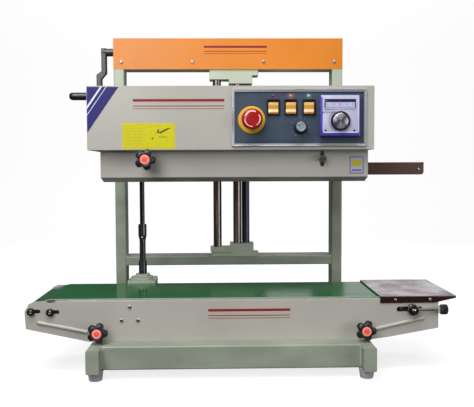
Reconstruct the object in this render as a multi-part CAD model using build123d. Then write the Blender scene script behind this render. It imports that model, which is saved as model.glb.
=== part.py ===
from build123d import *
import os
from math import hypot

# A vertical continuous band sealer. Millimetres, X along the bag's travel, Y away from the
# operator, Z up. The origin is on the floor under the middle of the whole machine.

# Frame
tube = 25                       # width of the frame tubes
wall = 2                        # their wall thickness
frame_left = -295
frame_right = 254
foot_reach = 225                # half the length of a foot tube
foot_bottom = 20
foot_top = 66
front_tube_y = (-196.5, -146.5)
rear_tube_y = (0, 50)
upright_front = 153
upright_back = 203
beam_bottom = 171.5
beam_top = 193
beam_back = 223
housing_bottom = 643
machine_top = 716.6
sheet = 2                       # folded sheet thickness

# Lift: two guide columns, one lead screw, a crank on a cross shaft
column_y = 170
column_radius = 10
column_xs = (-48.5, 0)
screw_x = 20.5
lift_y = 183                    # lead screw and cross shaft share this depth
crank_z = 688
crank_throw = 105.5
journal_radius = 6
bevel_radius = 15
running_gap = 0.06              # radial clearance of a running fit
contact_gap = 0.3               # gap between parts that roll on or mesh with each other

# Head
head_left = -293.5
head_right = 255
head_front = -184
head_back = 122
head_bottom = 441.4
head_top = 563
base_top = 446
cover_left = -273.3
cover_right = 249
cover_front = -158
cover_bottom = 380
seal_y = -61
seal_z = 404.5
slot_half = 15                  # half the width of the bag slot between the two guards
gland_x, gland_z = -235, 476    # mains cable gland on the case's back

# Sealing bands and their wheels
band_radius = 26.05             # outer radius of a band on its wheel
band_thick = 0.4
band_height = 15
wheel_height = 14
drive_wheel_x = -225
idler_wheel_x = 205
press_x = -160
press_radius = 19.7

# Drive shaft from the head to the conveyor
shaft_x = -220
shaft_y = 67
rod_radius = 5.5
rod_bottom = 218
sleeve_radius = 7
sleeve_bore = 5.8
sleeve_top = 279
bearing_top = 166                  # top of the sleeve's stepped bearing

# Conveyor
plate_thick = 2.5
conveyor_front = -158
conveyor_back = 36
plate_top = 146.4
belt_y = (-144, 31)
roller_y = (-142, 29)
belt_thick = 2
nose_x, nose_z, nose_radius = -413, 126.8, 11
support_x = -375.6
tail_x = 339
axle_z = 125.4
roller_radius = 21.5
drive_z = 117
drive_radius = 24
axle_radius = 4
tail_axle_radius = 4.9
tension_y = -163
tray_left = 275
tray_right = 426
tray_top = 152

# Control panel
panel_left, panel_right = -18, 239
panel_bottom, panel_top = 448, 556
panel_face = head_front - 2
stop_x, stop_z = 19.5, 497.8
rocker_xs = (60.8, 94.3, 128.7)
rocker_z = 521.7
rocker_pivot_y = -183
rocker_tilt = 10
speed_x, speed_z = 112.4, 484
controller_x = (148.8, 224.8)
controller_z = (466.2, 543.8)
controller_front = -200
dial_x, dial_z = 186.6, 494.5
dial_radius = 19
pressure_x, pressure_z = -183.8, 423.3
thumb_x, thumb_z = 158.8, 424.3
lock_knobs = {"left_lock_knob": (-281, 89), "right_lock_knob": (240.8, 89)}


def block(x, y, z):
    """A box from three (low, high) pairs."""
    size = [high - low for low, high in (x, y, z)]
    centre = [(high + low) / 2 for low, high in (x, y, z)]
    return Pos(*centre) * Box(*size)


def rod_x(radius, x, y, z):
    return Pos(sum(x) / 2, y, z) * Rot(0, 90, 0) * Cylinder(radius, x[1] - x[0])


def rod_y(radius, x, y, z):
    return Pos(x, sum(y) / 2, z) * Rot(90, 0, 0) * Cylinder(radius, y[1] - y[0])


def rod_z(radius, x, y, z):
    return Pos(x, y, sum(z) / 2) * Cylinder(radius, z[1] - z[0])


def face_plate(sketch, y):
    """A flat piece standing in the X-Z plane, drawn as (x, z), between two depths."""
    return extrude(Plane.XZ.offset(-y[0]) * sketch, amount=y[0] - y[1])


def side_profile(sketch, x):
    """A prism along X, drawn as (y, z)."""
    return extrude(Plane.YZ.offset(x[0]) * sketch, amount=x[1] - x[0])


def outline(points):
    return make_face(Polyline(*points, close=True))


def hollow_tube(plane, width, height, length):
    """A rounded rectangular tube that starts on the plane."""
    section = RectangleRounded(width, height, 3) - RectangleRounded(width - 2 * wall, height - 2 * wall, 1)
    return extrude(plane * section, amount=length)


def group(*solids):
    """Several separate solids kept in one node."""
    return Compound([solid for part in solids for solid in part.solids()])


def star_knob(x, z, y_front, y_end, turn):
    """A five-lobed clamping knob on a hub, facing the operator, with a stem back to y_end."""
    star = Circle(13)
    for lobe in range(5):
        star += Rot(0, 0, turn + 72 * lobe) * Pos(13.7, 0) * Circle(6)
    star = fillet(star.vertices(), 3)
    body = face_plate(Pos(x, z) * star, (y_front, y_front + 15))
    body = fillet(body.edges().filter_by(GeomType.LINE, reverse=True), 1.2)
    hub = rod_y(9, x, (y_front + 15, y_front + 27), z)
    stem = rod_y(axle_radius, x, (y_front + 27, y_end), z)
    return body + hub + stem


def bevel_gear(height, face_radius):
    """A toothed bevel blank on +Z, wide end down, with its hub below it."""
    gear = Cone(face_radius, face_radius - height, height, align=(Align.CENTER, Align.CENTER, Align.MIN))
    for tooth in range(16):
        notch = Pos(face_radius, 0, height / 2) * Rot(0, -45, 0) * Box(2.4, 2.2, 14)
        gear -= Rot(0, 0, 360 / 16 * tooth) * notch
    hub = Cylinder(10, 9, align=(Align.CENTER, Align.CENTER, Align.MAX))
    return gear + hub


def spur_gear(radius, x, y, z):
    """A spur gear about Z: a disc with straight slots cut for the teeth."""
    disc = Circle(radius)
    teeth = round(radius * 1.2)
    for tooth in range(teeth):
        disc -= Rot(0, 0, 360 / teeth * tooth) * Pos(radius, 0) * Rectangle(3.2, radius * 2.6 / teeth)
    return extrude(Plane.XY.offset(z[0]) * Pos(x, y) * disc, amount=z[1] - z[0])


# ---------------------------------------------------------------- frame
def foot_tube(x):
    """A foot tube along Y with a welded plate closing each end."""
    front_face = (x, -foot_reach + wall, (foot_bottom + foot_top) / 2)
    base = Plane(origin=front_face, x_dir=(1, 0, 0), z_dir=(0, 1, 0))
    body = hollow_tube(base, tube, foot_top - foot_bottom, 2 * (foot_reach - wall))
    section = RectangleRounded(tube, foot_top - foot_bottom, 3)
    front = extrude(base * section, amount=-wall)
    back = extrude(base.offset(2 * (foot_reach - wall)) * section, amount=wall)
    return group(body, front, back)


def cross_tube(y):
    left_face = (frame_left + tube, sum(y) / 2, (foot_bottom + foot_top) / 2)
    base = Plane(origin=left_face, x_dir=(0, 1, 0), z_dir=(1, 0, 0))
    return hollow_tube(base, y[1] - y[0], foot_top - foot_bottom, frame_right - frame_left - 2 * tube)


def upright(x):
    base = Plane(origin=(x, (upright_front + upright_back) / 2, foot_top), x_dir=(1, 0, 0), z_dir=(0, 0, 1))
    return hollow_tube(base, tube, upright_back - upright_front, housing_bottom - foot_top)


def middle_beam():
    height = beam_top - beam_bottom
    base = Plane(
        origin=(frame_left + tube, (upright_front + beam_back) / 2, beam_bottom + height / 2),
        x_dir=(0, 1, 0),
        z_dir=(1, 0, 0),
    )
    return hollow_tube(base, beam_back - upright_front, height, frame_right - frame_left - 2 * tube)


def rubber_feet():
    """Four tapered rubber feet under the foot tubes."""
    feet = []
    for x in (frame_left + tube / 2, frame_right - tube / 2):
        for y in (-192, 192):
            foot = Cone(12.5, 15.5, foot_bottom, align=(Align.CENTER, Align.CENTER, Align.MIN))
            foot = fillet(foot.edges().sort_by(Axis.Z)[0], 1.5)
            feet.append(Pos(x, y, 0) * foot)
    return group(*feet)


cover_screw_xs = [frame_left + 19 + step * 170 for step in range(4)]
cover_screw_z = 660.5
lip_back = upright_front + sheet + 3


def cover_screw_holes(shape):
    for x in cover_screw_xs:
        shape -= rod_y(2, x, (upright_front - 1, lip_back + 1), cover_screw_z)
    return shape


def top_housing():
    """The channel across the top: floor, front lip, back, two ends and the two shaft bearings."""
    inner_top = machine_top - sheet
    full = (frame_left, frame_right)
    floor = block(full, (upright_front + sheet, upright_back), (housing_bottom, housing_bottom + 3))
    lip = block(full, (upright_front + sheet, lip_back), (housing_bottom, 668))
    back = block(full, (upright_back - 3, upright_back), (housing_bottom, inner_top))
    depth = (upright_front + sheet, upright_back)
    left_end = block((frame_left, frame_left + 3), depth, (housing_bottom, inner_top))
    right_end = block((frame_right - 3, frame_right), depth, (housing_bottom, inner_top))
    shell = floor + lip + back + left_end + right_end
    shell = cover_screw_holes(shell)
    shell -= rod_z(journal_radius + 1, screw_x, lift_y, (housing_bottom - 1, housing_bottom + 4))
    shaft_bore = rod_x(journal_radius + running_gap, (frame_left - 1, screw_x), lift_y, crank_z)
    shell -= shaft_bore
    end_bearing = rod_x(15, (frame_left + 3, frame_left + 12), lift_y, crank_z) - shaft_bore
    bracket = block((-32, -24), (lift_y - 16, upright_back - 3), (housing_bottom + 3, crank_z + 16))
    return group(shell, end_bearing, bracket - shaft_bore)


def lift_cover():
    """The folded cover over the lift drive: a front and a top."""
    width = (frame_left, frame_right)
    front = block(width, (upright_front, upright_front + sheet), (housing_bottom, machine_top))
    top = block(width, (upright_front, upright_back), (machine_top - sheet, machine_top))
    return cover_screw_holes(front + top)


bracket_front = 156


def column_bores(bottom, top):
    bores = [rod_z(column_radius, x, column_y, (bottom, top)) for x in column_xs]
    return bores[0] + bores[1]


def top_column_bracket():
    """The casting under the top channel that holds the columns and the screw's upper journal."""
    depth = (bracket_front, upright_back - 3)
    boss = block((-19.5, 37.2), depth, (609.8, housing_bottom))
    left_lobe = block((-66.3, -19), depth, (619.6, housing_bottom))
    right_lobe = block((37, 51.2), depth, (629.3, housing_bottom))
    casting = boss + left_lobe + right_lobe
    casting = fillet(casting.edges().filter_by(Axis.Z).group_by(Axis.Y)[0], 2)
    casting -= column_bores(600, 634)
    return casting - rod_z(journal_radius + running_gap, screw_x, lift_y, (600, 650))


def base_column_bracket():
    """The casting on the middle beam that holds the columns' feet and the screw's lower journal."""
    flange = block((-63, 52), (bracket_front, beam_back - 10), (beam_top, beam_top + 7))
    boss = block((-18, 39), (bracket_front, 202), (beam_top + 7, 223.7))
    left_boss = block((-66, -15), (bracket_front, 192), (beam_top + 10, 215))
    neck = block((-60, -17), (bracket_front + 4, 188), (beam_top + 7, beam_top + 10))
    casting = flange + boss + left_boss + neck
    casting -= column_bores(205, 230)
    return casting - rod_z(journal_radius + running_gap, screw_x, lift_y, (199, 230))


def guide_columns():
    return group(*[rod_z(column_radius, x, column_y, (205, 634)) for x in column_xs])


def lead_screw():
    """The screw with its two journals and the bevel wheel on top."""
    body = rod_z(column_radius, screw_x, lift_y, (224, 609.5))
    journals = rod_z(journal_radius, screw_x, lift_y, (200, crank_z - bevel_radius - contact_gap))
    wheel = Pos(screw_x, lift_y, crank_z - bevel_radius - contact_gap) * bevel_gear(6, bevel_radius)
    return body + journals + wheel


grip_z = crank_z - crank_throw
grip_radius = 9.65


def crank():
    """The cranked arm with its hub and grip pin, and the cross shaft with its bevel pinion."""
    arm_points = [
        (-327.5, 697), (-315.5, 697), (-315.5, 638), (-327, 625),
        (-327, 573), (-339.7, 573), (-339.7, 633), (-327.5, 642),
    ]
    arm = face_plate(outline(arm_points), (lift_y - 9, lift_y + 9))
    arm = fillet(arm.edges().filter_by(Axis.Z), 2.5)
    hub = rod_x(9.5, (-327.5, -296.5), lift_y, crank_z)
    pin = rod_x(axle_radius, (-402, -339), lift_y, grip_z)
    shaft = rod_x(journal_radius, (-296.5, screw_x - bevel_radius), lift_y, crank_z)
    mesh_x = screw_x - bevel_radius - contact_gap
    pinion = Pos(mesh_x, lift_y, crank_z) * Rot(0, 90, 0) * bevel_gear(6, bevel_radius)
    return group(arm + hub + pin, shaft + pinion)


def crank_grip():
    """The hand grip that turns on the crank's pin, with a rounded outer end."""
    tip_x = -407.5
    body = rod_x(grip_radius, (tip_x + grip_radius, -341), lift_y, grip_z)
    body += Pos(tip_x + grip_radius, lift_y, grip_z) * Sphere(grip_radius)
    return body - rod_x(axle_radius + running_gap, (-403, -340), lift_y, grip_z)


# ---------------------------------------------------------------- conveyor
bearing_back = -146.5
bearing_screws = [(shaft_x, drive_z + 17.5), (shaft_x - 16, drive_z - 9), (shaft_x + 16, drive_z - 9)]
tray_screws = [(304.9, 144.6), (374.1, 144.8)]


def conveyor_plate(y):
    """One side plate of the conveyor with its slots and bores."""
    low_left, low_right = (-424, 92.3), (391.6, 87.6)
    points = [
        (-301, foot_top), (260, foot_top), (293.6, 70.4), low_right, (391.6, plate_top),
        (-366, plate_top), (-371, 143.6), (-380, 143.6), (-385, plate_top),
        (-406, plate_top), (-417, 142), (-426, 127), low_left,
    ]
    plate = face_plate(outline(points), y)
    for x, z in ((nose_x, nose_z), (support_x, axle_z)):
        plate -= face_plate(Pos(x + 7, z) * SlotCenterToCenter(14, 2 * axle_radius), y)
    return plate - face_plate(Pos(333.5, axle_z) * SlotCenterToCenter(41, 10), y)


def stiffening_bead(start, end):
    """A raised round-nosed bead on the front plate between two (x, z) points."""
    length = hypot(end[0] - start[0], end[1] - start[1])
    bead = Pos(length / 2, 0, 0) * Rot(0, 90, 0) * Cylinder(4, length)
    bead += Sphere(4) + Pos(length, 0, 0) * Sphere(4)
    slope = Vector(end[0] - start[0], 0, end[1] - start[1])
    place = Plane(origin=(start[0], conveyor_front + 1, start[1]), x_dir=slope, z_dir=(0, 1, 0))
    cutter = block((-500, 500), (conveyor_front, 0), (0, 300))
    return place * bead - cutter


def conveyor_front_plate():
    """The front side plate: top flange, two beads, the tension screw's lug and the drive bearing inside."""
    inside = conveyor_front + plate_thick
    plate = conveyor_plate((conveyor_front, inside))
    bearing = rod_y(22, shaft_x, (inside, bearing_back), drive_z)
    plate += bearing - rod_y(journal_radius + running_gap, shaft_x, (inside, bearing_back + 1), drive_z)
    plate += block((-366, 391.6), (conveyor_front, conveyor_front + 12), (plate_top - sheet, plate_top))
    plate += stiffening_bead((-398.7, 104.5), (-305.3, 85.4))
    plate += stiffening_bead((269, 86.7), (360.4, 107.1))
    lug = block((388, 391.6), (tension_y - 6, conveyor_front + 1), (axle_z - 6.5, axle_z + 6.5))
    plate += lug - rod_x(2.56, (380, 400), tension_y, axle_z)
    front = (conveyor_front - 1, inside)
    for x, z in lock_knobs.values():
        plate -= rod_y(axle_radius + running_gap, x, front, z)
    for x, z in bearing_screws:
        plate -= rod_y(2, x, front, z)
    for x, z in tray_screws:
        plate -= rod_y(1.5, x, front, z)
    return plate


def conveyor_rear_plate():
    y = (conveyor_back - plate_thick, conveyor_back)
    return conveyor_plate(y) - rod_y(journal_radius + running_gap, shaft_x, y, drive_z)


def slider_bed():
    """The plate that the belt slides on, and the two spacer bars that tie the side plates."""
    inside = (conveyor_front + plate_thick, conveyor_back - plate_thick)
    bed = block((-345, 308), (conveyor_front + 13, inside[1]), (plate_top - 4.4, plate_top))
    bars = [rod_y(7, x, inside, 118) for x in (-110, 160)]
    return group(bed, *bars)


def belt_loop(extra):
    """The closed outline round all four rollers, this far outside their faces."""
    rollers = [
        (nose_x, nose_z, nose_radius),
        (support_x, axle_z, roller_radius),
        (shaft_x, drive_z, drive_radius),
        (tail_x, axle_z, roller_radius),
    ]
    edges = []
    for x, z, radius in rollers:
        edges.extend((Pos(x, z) * Circle(radius + extra)).edges())
    return make_hull(edges)


def conveyor_belt():
    slack = 0.05
    ring = belt_loop(slack + belt_thick) - belt_loop(slack)
    return face_plate(ring, belt_y)


def plain_roller(x, z, radius, bore):
    body = rod_y(radius, x, roller_y, z)
    return body - rod_y(bore + running_gap, x, roller_y, z)


def drive_roller():
    """The driving roller, its shaft and the bevel wheel behind the vertical shaft."""
    gear_back = shaft_y + bevel_radius + contact_gap
    body = rod_y(drive_radius, shaft_x, roller_y, drive_z)
    shaft = rod_y(journal_radius, shaft_x, (conveyor_front + plate_thick + contact_gap, gear_back), drive_z)
    wheel = Pos(shaft_x, gear_back, drive_z) * Rot(90, 0, 0) * bevel_gear(6, bevel_radius)
    return body + shaft + wheel


def belt_drive_housing():
    """The gear case behind the rear plate with the stepped bearing for the upright shaft."""
    half = 31
    x = (shaft_x - half, shaft_x + half)
    y = (conveyor_back, conveyor_back + 2 * half)
    case = block(x, y, (92, 148))
    case -= block((x[0] + 4, x[1] - 4), (y[0] + 4, y[1] - 4), (96, 149))
    case += block(x, y, (148, 154))
    case += rod_z(24, shaft_x, shaft_y, (154, 160))
    case += rod_z(16, shaft_x, shaft_y, (160, bearing_top))
    case -= rod_z(sleeve_radius + running_gap, shaft_x, shaft_y, (140, 180))
    return case - rod_y(journal_radius + running_gap, shaft_x, (y[0] - 1, y[0] + 5), drive_z)


def drive_sleeve():
    """The lower half of the telescopic shaft, with a collar at each end and its bevel wheel."""
    gear_z = drive_z + bevel_radius + contact_gap
    body = rod_z(sleeve_radius, shaft_x, shaft_y, (gear_z - 6, sleeve_top))
    body += rod_z(9.2, shaft_x, shaft_y, (bearing_top + contact_gap, 195))
    body += rod_z(9.4, shaft_x, shaft_y, (254, sleeve_top))
    body += Pos(shaft_x, shaft_y, 249.5) * Cone(7.6, 9.4, 9)
    body += Pos(shaft_x, shaft_y, gear_z) * Rot(180, 0, 0) * bevel_gear(6, bevel_radius)
    return body - rod_z(sleeve_bore, shaft_x, shaft_y, (120, 290))


def drive_rod():
    """The upper half of the telescopic shaft, with its spur gear in the head."""
    rod = rod_z(rod_radius, shaft_x, shaft_y, (rod_bottom, 472))
    return rod + spur_gear(50.8, shaft_x, shaft_y, (460, 468))


def tail_axle():
    """The tail roller's axle: the round boss in front that the tension screw pulls, and the nut behind."""
    shaft = rod_y(tail_axle_radius, tail_x, (conveyor_front - 1, conveyor_back + 1), axle_z)
    boss = rod_y(11, tail_x, (tension_y - 5, conveyor_front - 0.3), axle_z)
    cap = rod_y(8.5, tail_x, (tension_y - 10, tension_y - 5), axle_z)
    nut = rod_y(8, tail_x, (conveyor_back + 0.3, conveyor_back + 6), axle_z)
    body = shaft + boss + cap + nut
    return body - rod_x(2.56, (tail_x - 12, tail_x + 12), tension_y, axle_z)


def tension_knob():
    """The tension screw with its lock nut and its knurled knob."""
    screw = rod_x(2.5, (333, 393), tension_y, axle_z) + rod_x(4.5, (353, 358), tension_y, axle_z)
    rim = Circle(10)
    for groove in range(24):
        rim -= Rot(0, 0, 15 * groove) * Pos(10, 0) * Circle(0.7)
    knob = extrude(Plane.YZ.offset(392) * Pos(tension_y, axle_z) * rim, amount=16)
    return screw + knob


def feed_tray():
    """The folded sheet at the in-feed end, with a tapering front flange and a back flange."""
    depth = (conveyor_front - 1.5, conveyor_back + 1.5)
    top = block((tray_left, tray_right), depth, (tray_top - 1.5, tray_top))
    flange = outline([
        (tray_left, tray_top), (tray_left, 138), (385, 138.6), (tray_right, 147.5), (tray_right, tray_top),
    ])
    top += face_plate(flange, (conveyor_front - 1.5, conveyor_front))
    top += face_plate(flange, (conveyor_back, conveyor_back + 1.5))
    for x, z in tray_screws:
        top -= rod_y(1.5, x, (conveyor_front - 2, conveyor_front + 1), z)
    return top


def pan_head_screw(x, z, y_face, head_radius, shank_radius, shank_length):
    head = rod_y(head_radius, x, (y_face - 2.2, y_face), z)
    head = fillet(head.edges().sort_by(Axis.Y)[0], 1.5)
    return head + rod_y(shank_radius, x, (y_face, y_face + shank_length), z)


def frame_fasteners():
    """Cover screws, bearing screws, tray screws and the two bolts that carry the end rollers."""
    screws = [pan_head_screw(x, cover_screw_z, upright_front, 4, 2, 5) for x in cover_screw_xs]
    screws += [pan_head_screw(x, z, conveyor_front, 3.8, 2, plate_thick) for x, z in bearing_screws]
    screws += [pan_head_screw(x, z, conveyor_front - 1.5, 3, 1.5, 4) for x, z in tray_screws]
    for x, z in ((nose_x, nose_z), (support_x, axle_z)):
        bolt = rod_y(axle_radius, x, (conveyor_front, conveyor_back), z)
        bolt += rod_y(7, x, (conveyor_front - 5, conveyor_front), z)
        screws.append(bolt + rod_y(7, x, (conveyor_back, conveyor_back + 5), z))
    return group(*screws)


# ---------------------------------------------------------------- head
def rocker_windows(shape):
    depth = (head_front - 10, head_front + 5)
    for x in rocker_xs:
        shape -= block((x - 10, x + 10), depth, (rocker_z - 13.1, rocker_z + 13.1))
    return shape


def panel_holes(shape):
    """Openings for the rockers, the stop button's stem and the speed knob's spindle."""
    shape = rocker_windows(shape)
    depth = (head_front - 10, head_front + 5)
    shape -= rod_y(8 + running_gap, stop_x, depth, stop_z)
    return shape - rod_y(3 + running_gap, speed_x, depth, speed_z)


def head_case():
    """The folded sheet case: front, top, sides and back, open below, with the cable gland's boss."""
    outer = block((head_left, head_right), (head_front, head_back), (head_bottom, head_top))
    outer = fillet(outer.edges().filter_by(Axis.Y).group_by(Axis.Z)[-1], 2)
    inner = block(
        (head_left + sheet, head_right - sheet),
        (head_front + sheet, head_back - sheet),
        (head_bottom - 1, head_top - sheet),
    )
    case = panel_holes(outer - inner)
    case -= rod_y(3 + running_gap, dial_x, (head_front - 1, head_front + 5), dial_z)
    return case + rod_y(9, gland_x, (head_back, head_back + 12), gland_z)


wheel_offset = band_radius + 0.15
front_wheel_y = seal_y - wheel_offset
rear_wheel_y = seal_y + wheel_offset
press_offset = 0.15 + band_thick + 0.1 + press_radius


def head_base_plate():
    """The base plate with running bores for the wheel, roller and drive shafts."""
    width = (head_left + sheet, head_right - sheet)
    plate = block(width, (head_front + sheet, head_back - sheet), (head_bottom, base_top))
    through = (head_bottom - 1, base_top + 1)
    for x in (drive_wheel_x, idler_wheel_x):
        for y in (front_wheel_y, rear_wheel_y):
            plate -= rod_z(journal_radius + running_gap, x, y, through)
    for y in (seal_y - press_offset, seal_y + press_offset):
        plate -= rod_z(5 + running_gap, press_x, y, through)
    return plate - rod_z(rod_radius + running_gap, shaft_x, shaft_y, through)


def lower_front_cover():
    """The guard before the bands: front wall with a bevelled lip, and two ends."""
    lip = 9
    lip_z = cover_bottom + lip
    wall_points = [
        (cover_front, head_bottom), (cover_front, lip_z), (cover_front + lip, cover_bottom),
        (cover_front + lip, cover_bottom + 2.8), (cover_front + sheet, lip_z + 0.8),
        (cover_front + sheet, head_bottom),
    ]
    cover = side_profile(outline(wall_points), (cover_left, cover_right))
    for edge, inward in ((cover_left, 1), (cover_right, -1)):
        mitre = outline([(edge, cover_bottom - 1), (edge + 5 * inward, cover_bottom - 1), (edge, lip_z)])
        cover -= face_plate(mitre, (cover_front - 1, seal_y))
        x = sorted((edge, edge + sheet * inward))
        cover += block(x, (cover_front + sheet, seal_y - slot_half), (lip_z, head_bottom))
    slot = Pos(thumb_x, head_bottom - 17) * SlotOverall(31, 7.8, rotation=90)
    cover -= face_plate(slot, (cover_front - 1, cover_front + 3))
    stem_hole = (cover_front - 1, cover_front + 3)
    return cover - rod_y(axle_radius + running_gap, pressure_x, stem_hole, pressure_z)


def lower_rear_guard():
    """The guard behind the bands: back wall and two ends."""
    back = 20
    low = cover_bottom + 5
    guard = block((cover_left, cover_right), (back - sheet, back), (low, head_bottom))
    guard += block((cover_left, cover_left + sheet), (seal_y + slot_half, back), (low, head_bottom))
    return guard + block((cover_right - sheet, cover_right), (seal_y + slot_half, back), (low, head_bottom))


def infeed_guides():
    """Two guide strips either side of the seal line, each hung from the base plate."""
    strips = []
    for y in ((seal_y - 3.5, seal_y - 1.5), (seal_y + 1.5, seal_y + 3.5)):
        bar = block((234, 387.2), y, (391.5, 417.5))
        bar = fillet(bar.edges().filter_by(Axis.Y).sort_by(Axis.X)[-2:].sort_by(Axis.Z)[0], 6)
        strips.append(bar + block((234, 246), y, (417.5, head_bottom)))
    return group(*strips)


def control_panel():
    """The bright bezel frame and the panel plate that it holds."""
    rim = 5
    inner_x = (panel_left + rim, panel_right - rim)
    inner_z = (panel_bottom + rim, panel_top - rim)
    bezel = block((panel_left, panel_right), (head_front - 4, head_front), (panel_bottom, panel_top))
    opening = block(inner_x, (head_front - 5, head_front + 1), inner_z)
    plate = block(inner_x, (panel_face, head_front), inner_z)
    plate -= rod_y(3 + running_gap, dial_x, (head_front - 4, head_front + 1), dial_z)
    return group(bezel - opening, panel_holes(plate))


def temperature_controller():
    """The controller's body on the panel: a rim, a window recess and a bore for the dial."""
    body = block(controller_x, (controller_front, panel_face), controller_z)
    body = fillet(body.edges().filter_by(Axis.Y), 2)
    body = chamfer(body.faces().sort_by(Axis.Y)[0].edges(), 1.5)
    middle = sum(controller_x) / 2
    body -= block((middle - 29, middle + 29), (controller_front - 1, controller_front + 4), (515.5, 534.5))
    return body - rod_y(3 + running_gap, dial_x, (controller_front - 1, panel_face + 1), dial_z)


def temperature_dial():
    dial = rod_y(dial_radius, dial_x, (controller_front - 7, controller_front - 0.3), dial_z)
    dial = chamfer(dial.edges().sort_by(Axis.Y)[0], 2)
    return dial + rod_y(3, dial_x, (controller_front - 0.3, head_front + 8), dial_z)


def stop_collar():
    """The stop button's round legend plate and its barrel."""
    collar = rod_y(26, stop_x, (panel_face - 3, panel_face), stop_z)
    collar += rod_y(13, stop_x, (panel_face - 12, panel_face - 3), stop_z)
    return collar - rod_y(8 + running_gap, stop_x, (panel_face - 13, panel_face + 1), stop_z)


def stop_button():
    """The mushroom button with its stem."""
    cap = rod_y(20, stop_x, (panel_face - 34, panel_face - 20), stop_z)
    cap = fillet(cap.edges().sort_by(Axis.Y)[0], 5)
    return cap + rod_y(8, stop_x, (panel_face - 20, head_front + 10), stop_z)


def switch_frames():
    frames = []
    for x in rocker_xs:
        outer = block((x - 12.3, x + 12.3), (panel_face - 3.5, panel_face), (rocker_z - 15, rocker_z + 15))
        frames.append(rocker_windows(outer))
    return group(*frames)


def rocker(x):
    """One rocker at rest, tilted about its pivot to its first position."""
    half = 11
    points = [(-9.5, half), (-7.5, 0), (-9.5, -half), (5, -8), (5, 8)]
    shape = side_profile(outline(points), (x - 9.6, x + 9.6))
    return Pos(0, rocker_pivot_y, rocker_z) * Rot(rocker_tilt, 0, 0) * shape


def speed_knob():
    skirt = rod_y(14, speed_x, (panel_face - 3.5, panel_face - 0.3), speed_z)
    cap = rod_y(9.5, speed_x, (panel_face - 17, panel_face - 3.5), speed_z)
    cap = chamfer(cap.edges().sort_by(Axis.Y)[0], 1.2)
    return skirt + cap + rod_y(3, speed_x, (panel_face - 0.3, head_front + 8), speed_z)


def carriage():
    """The casting behind the head that rides on the columns, with its two bushes and the screw's nut."""
    plate = block((-75, 65), (head_back, head_back + 10), (base_top, 556))
    arm = block((-68, 38), (head_back + 10, 200), (470, 530))
    body = fillet((plate + arm).edges().filter_by(Axis.Z).group_by(Axis.Y)[-1], 4)
    bushes = []
    for x in column_xs:
        body -= rod_z(12.5, x, column_y, (460, 540))
        bore = rod_z(column_radius + running_gap, x, column_y, (460, 540))
        bushes.append(rod_z(12.5, x, column_y, (470, 530)) - bore)
    body -= rod_z(10.6, screw_x, lift_y, (460, 540))
    nut = rod_z(13, screw_x, lift_y, (455, 470))
    nut -= rod_z(column_radius + running_gap, screw_x, lift_y, (450, 475))
    return group(body, nut, *bushes)


def gear_motor():
    """The motor lying along the head, its gearbox and the bridge that carries them."""
    y = rear_wheel_y
    bridge = block((-285, -165), (-98, 30), (472, 476))
    for x in (-280, -170):
        for post_y in (-93, 25):
            bridge += rod_z(4, x, post_y, (base_top, 472))
    gearbox = block((-264, -188), (y - 38, y + 38), (476, 532))
    gearbox = fillet(gearbox.edges().filter_by(Axis.Z), 5)
    bore = rod_z(journal_radius + running_gap, drive_wheel_x, y, (470, 490))
    motor = rod_x(28, (-188, -80), y, 504)
    motor += rod_x(20, (-80, -68), y, 504)
    return group(bridge - bore, gearbox - bore, motor)


def sealing_blocks():
    """Two heating blocks and two cooling blocks, one of each on either side of the bands."""
    height = (seal_z - 6.5, seal_z + 6.5)
    gap = 0.15 + band_thick + 0.15
    blocks = []
    for x in ((-125, -25), (10, 120)):
        for side in (-1, 1):
            y = sorted((seal_y + side * gap, seal_y + side * (gap + 14)))
            bar = block(x, y, height)
            for post_x in (x[0] + 20, x[1] - 20):
                bar += rod_z(4, post_x, sum(y) / 2, (height[1], head_bottom))
            blocks.append(bar)
    return group(*blocks)


def sealing_bands():
    """Two thin closed bands, one round each pair of wheels."""
    bands = []
    middle = (drive_wheel_x + idler_wheel_x) / 2
    for y in (front_wheel_y, rear_wheel_y):
        length = idler_wheel_x - drive_wheel_x
        outer = SlotCenterToCenter(length, 2 * band_radius)
        inner = SlotCenterToCenter(length, 2 * (band_radius - band_thick))
        low = Plane.XY.offset(seal_z - band_height / 2)
        bands.append(extrude(low * Pos(middle, y) * (outer - inner), amount=band_height))
    return group(*bands)


def band_wheel(x, y, shaft_top):
    """A band wheel with five lightening holes, and its shaft up through the base plate."""
    z = (seal_z - wheel_height / 2, seal_z + wheel_height / 2)
    wheel = rod_z(band_radius - band_thick - 0.05, 0, 0, z)
    for hole in range(5):
        wheel -= Rot(0, 0, 72 * hole) * rod_z(4, 15, 0, z)
    wheel += rod_z(journal_radius, 0, 0, (z[0] - 2, shaft_top))
    return Pos(x, y, 0) * wheel


def front_drive_wheel():
    gear = spur_gear(band_radius, drive_wheel_x, front_wheel_y, (450, 458))
    return band_wheel(drive_wheel_x, front_wheel_y, 458) + gear


def rear_drive_wheel():
    wheel = band_wheel(drive_wheel_x, rear_wheel_y, 488)
    wheel += spur_gear(band_radius, drive_wheel_x, rear_wheel_y, (450, 458))
    return wheel + spur_gear(50.8, drive_wheel_x, rear_wheel_y, (460, 468))


def press_roller(y):
    roller = rod_z(press_radius, press_x, y, (seal_z - 6.5, seal_z + 6.5))
    return roller + rod_z(5, press_x, y, (seal_z - 8, 450))


def thumb_screw():
    """The knurled screw in the front cover's slot."""
    rim = Circle(6.5)
    for groove in range(18):
        rim -= Rot(0, 0, 20 * groove) * Pos(6.5, 0) * Circle(0.6)
    head = face_plate(Pos(thumb_x, thumb_z) * rim, (cover_front - 12, cover_front - 3))
    washer = rod_y(7.5, thumb_x, (cover_front - 3, cover_front - 0.3), thumb_z)
    return head + washer + rod_y(2.5, thumb_x, (cover_front - 0.3, cover_front + 10), thumb_z)


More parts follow.
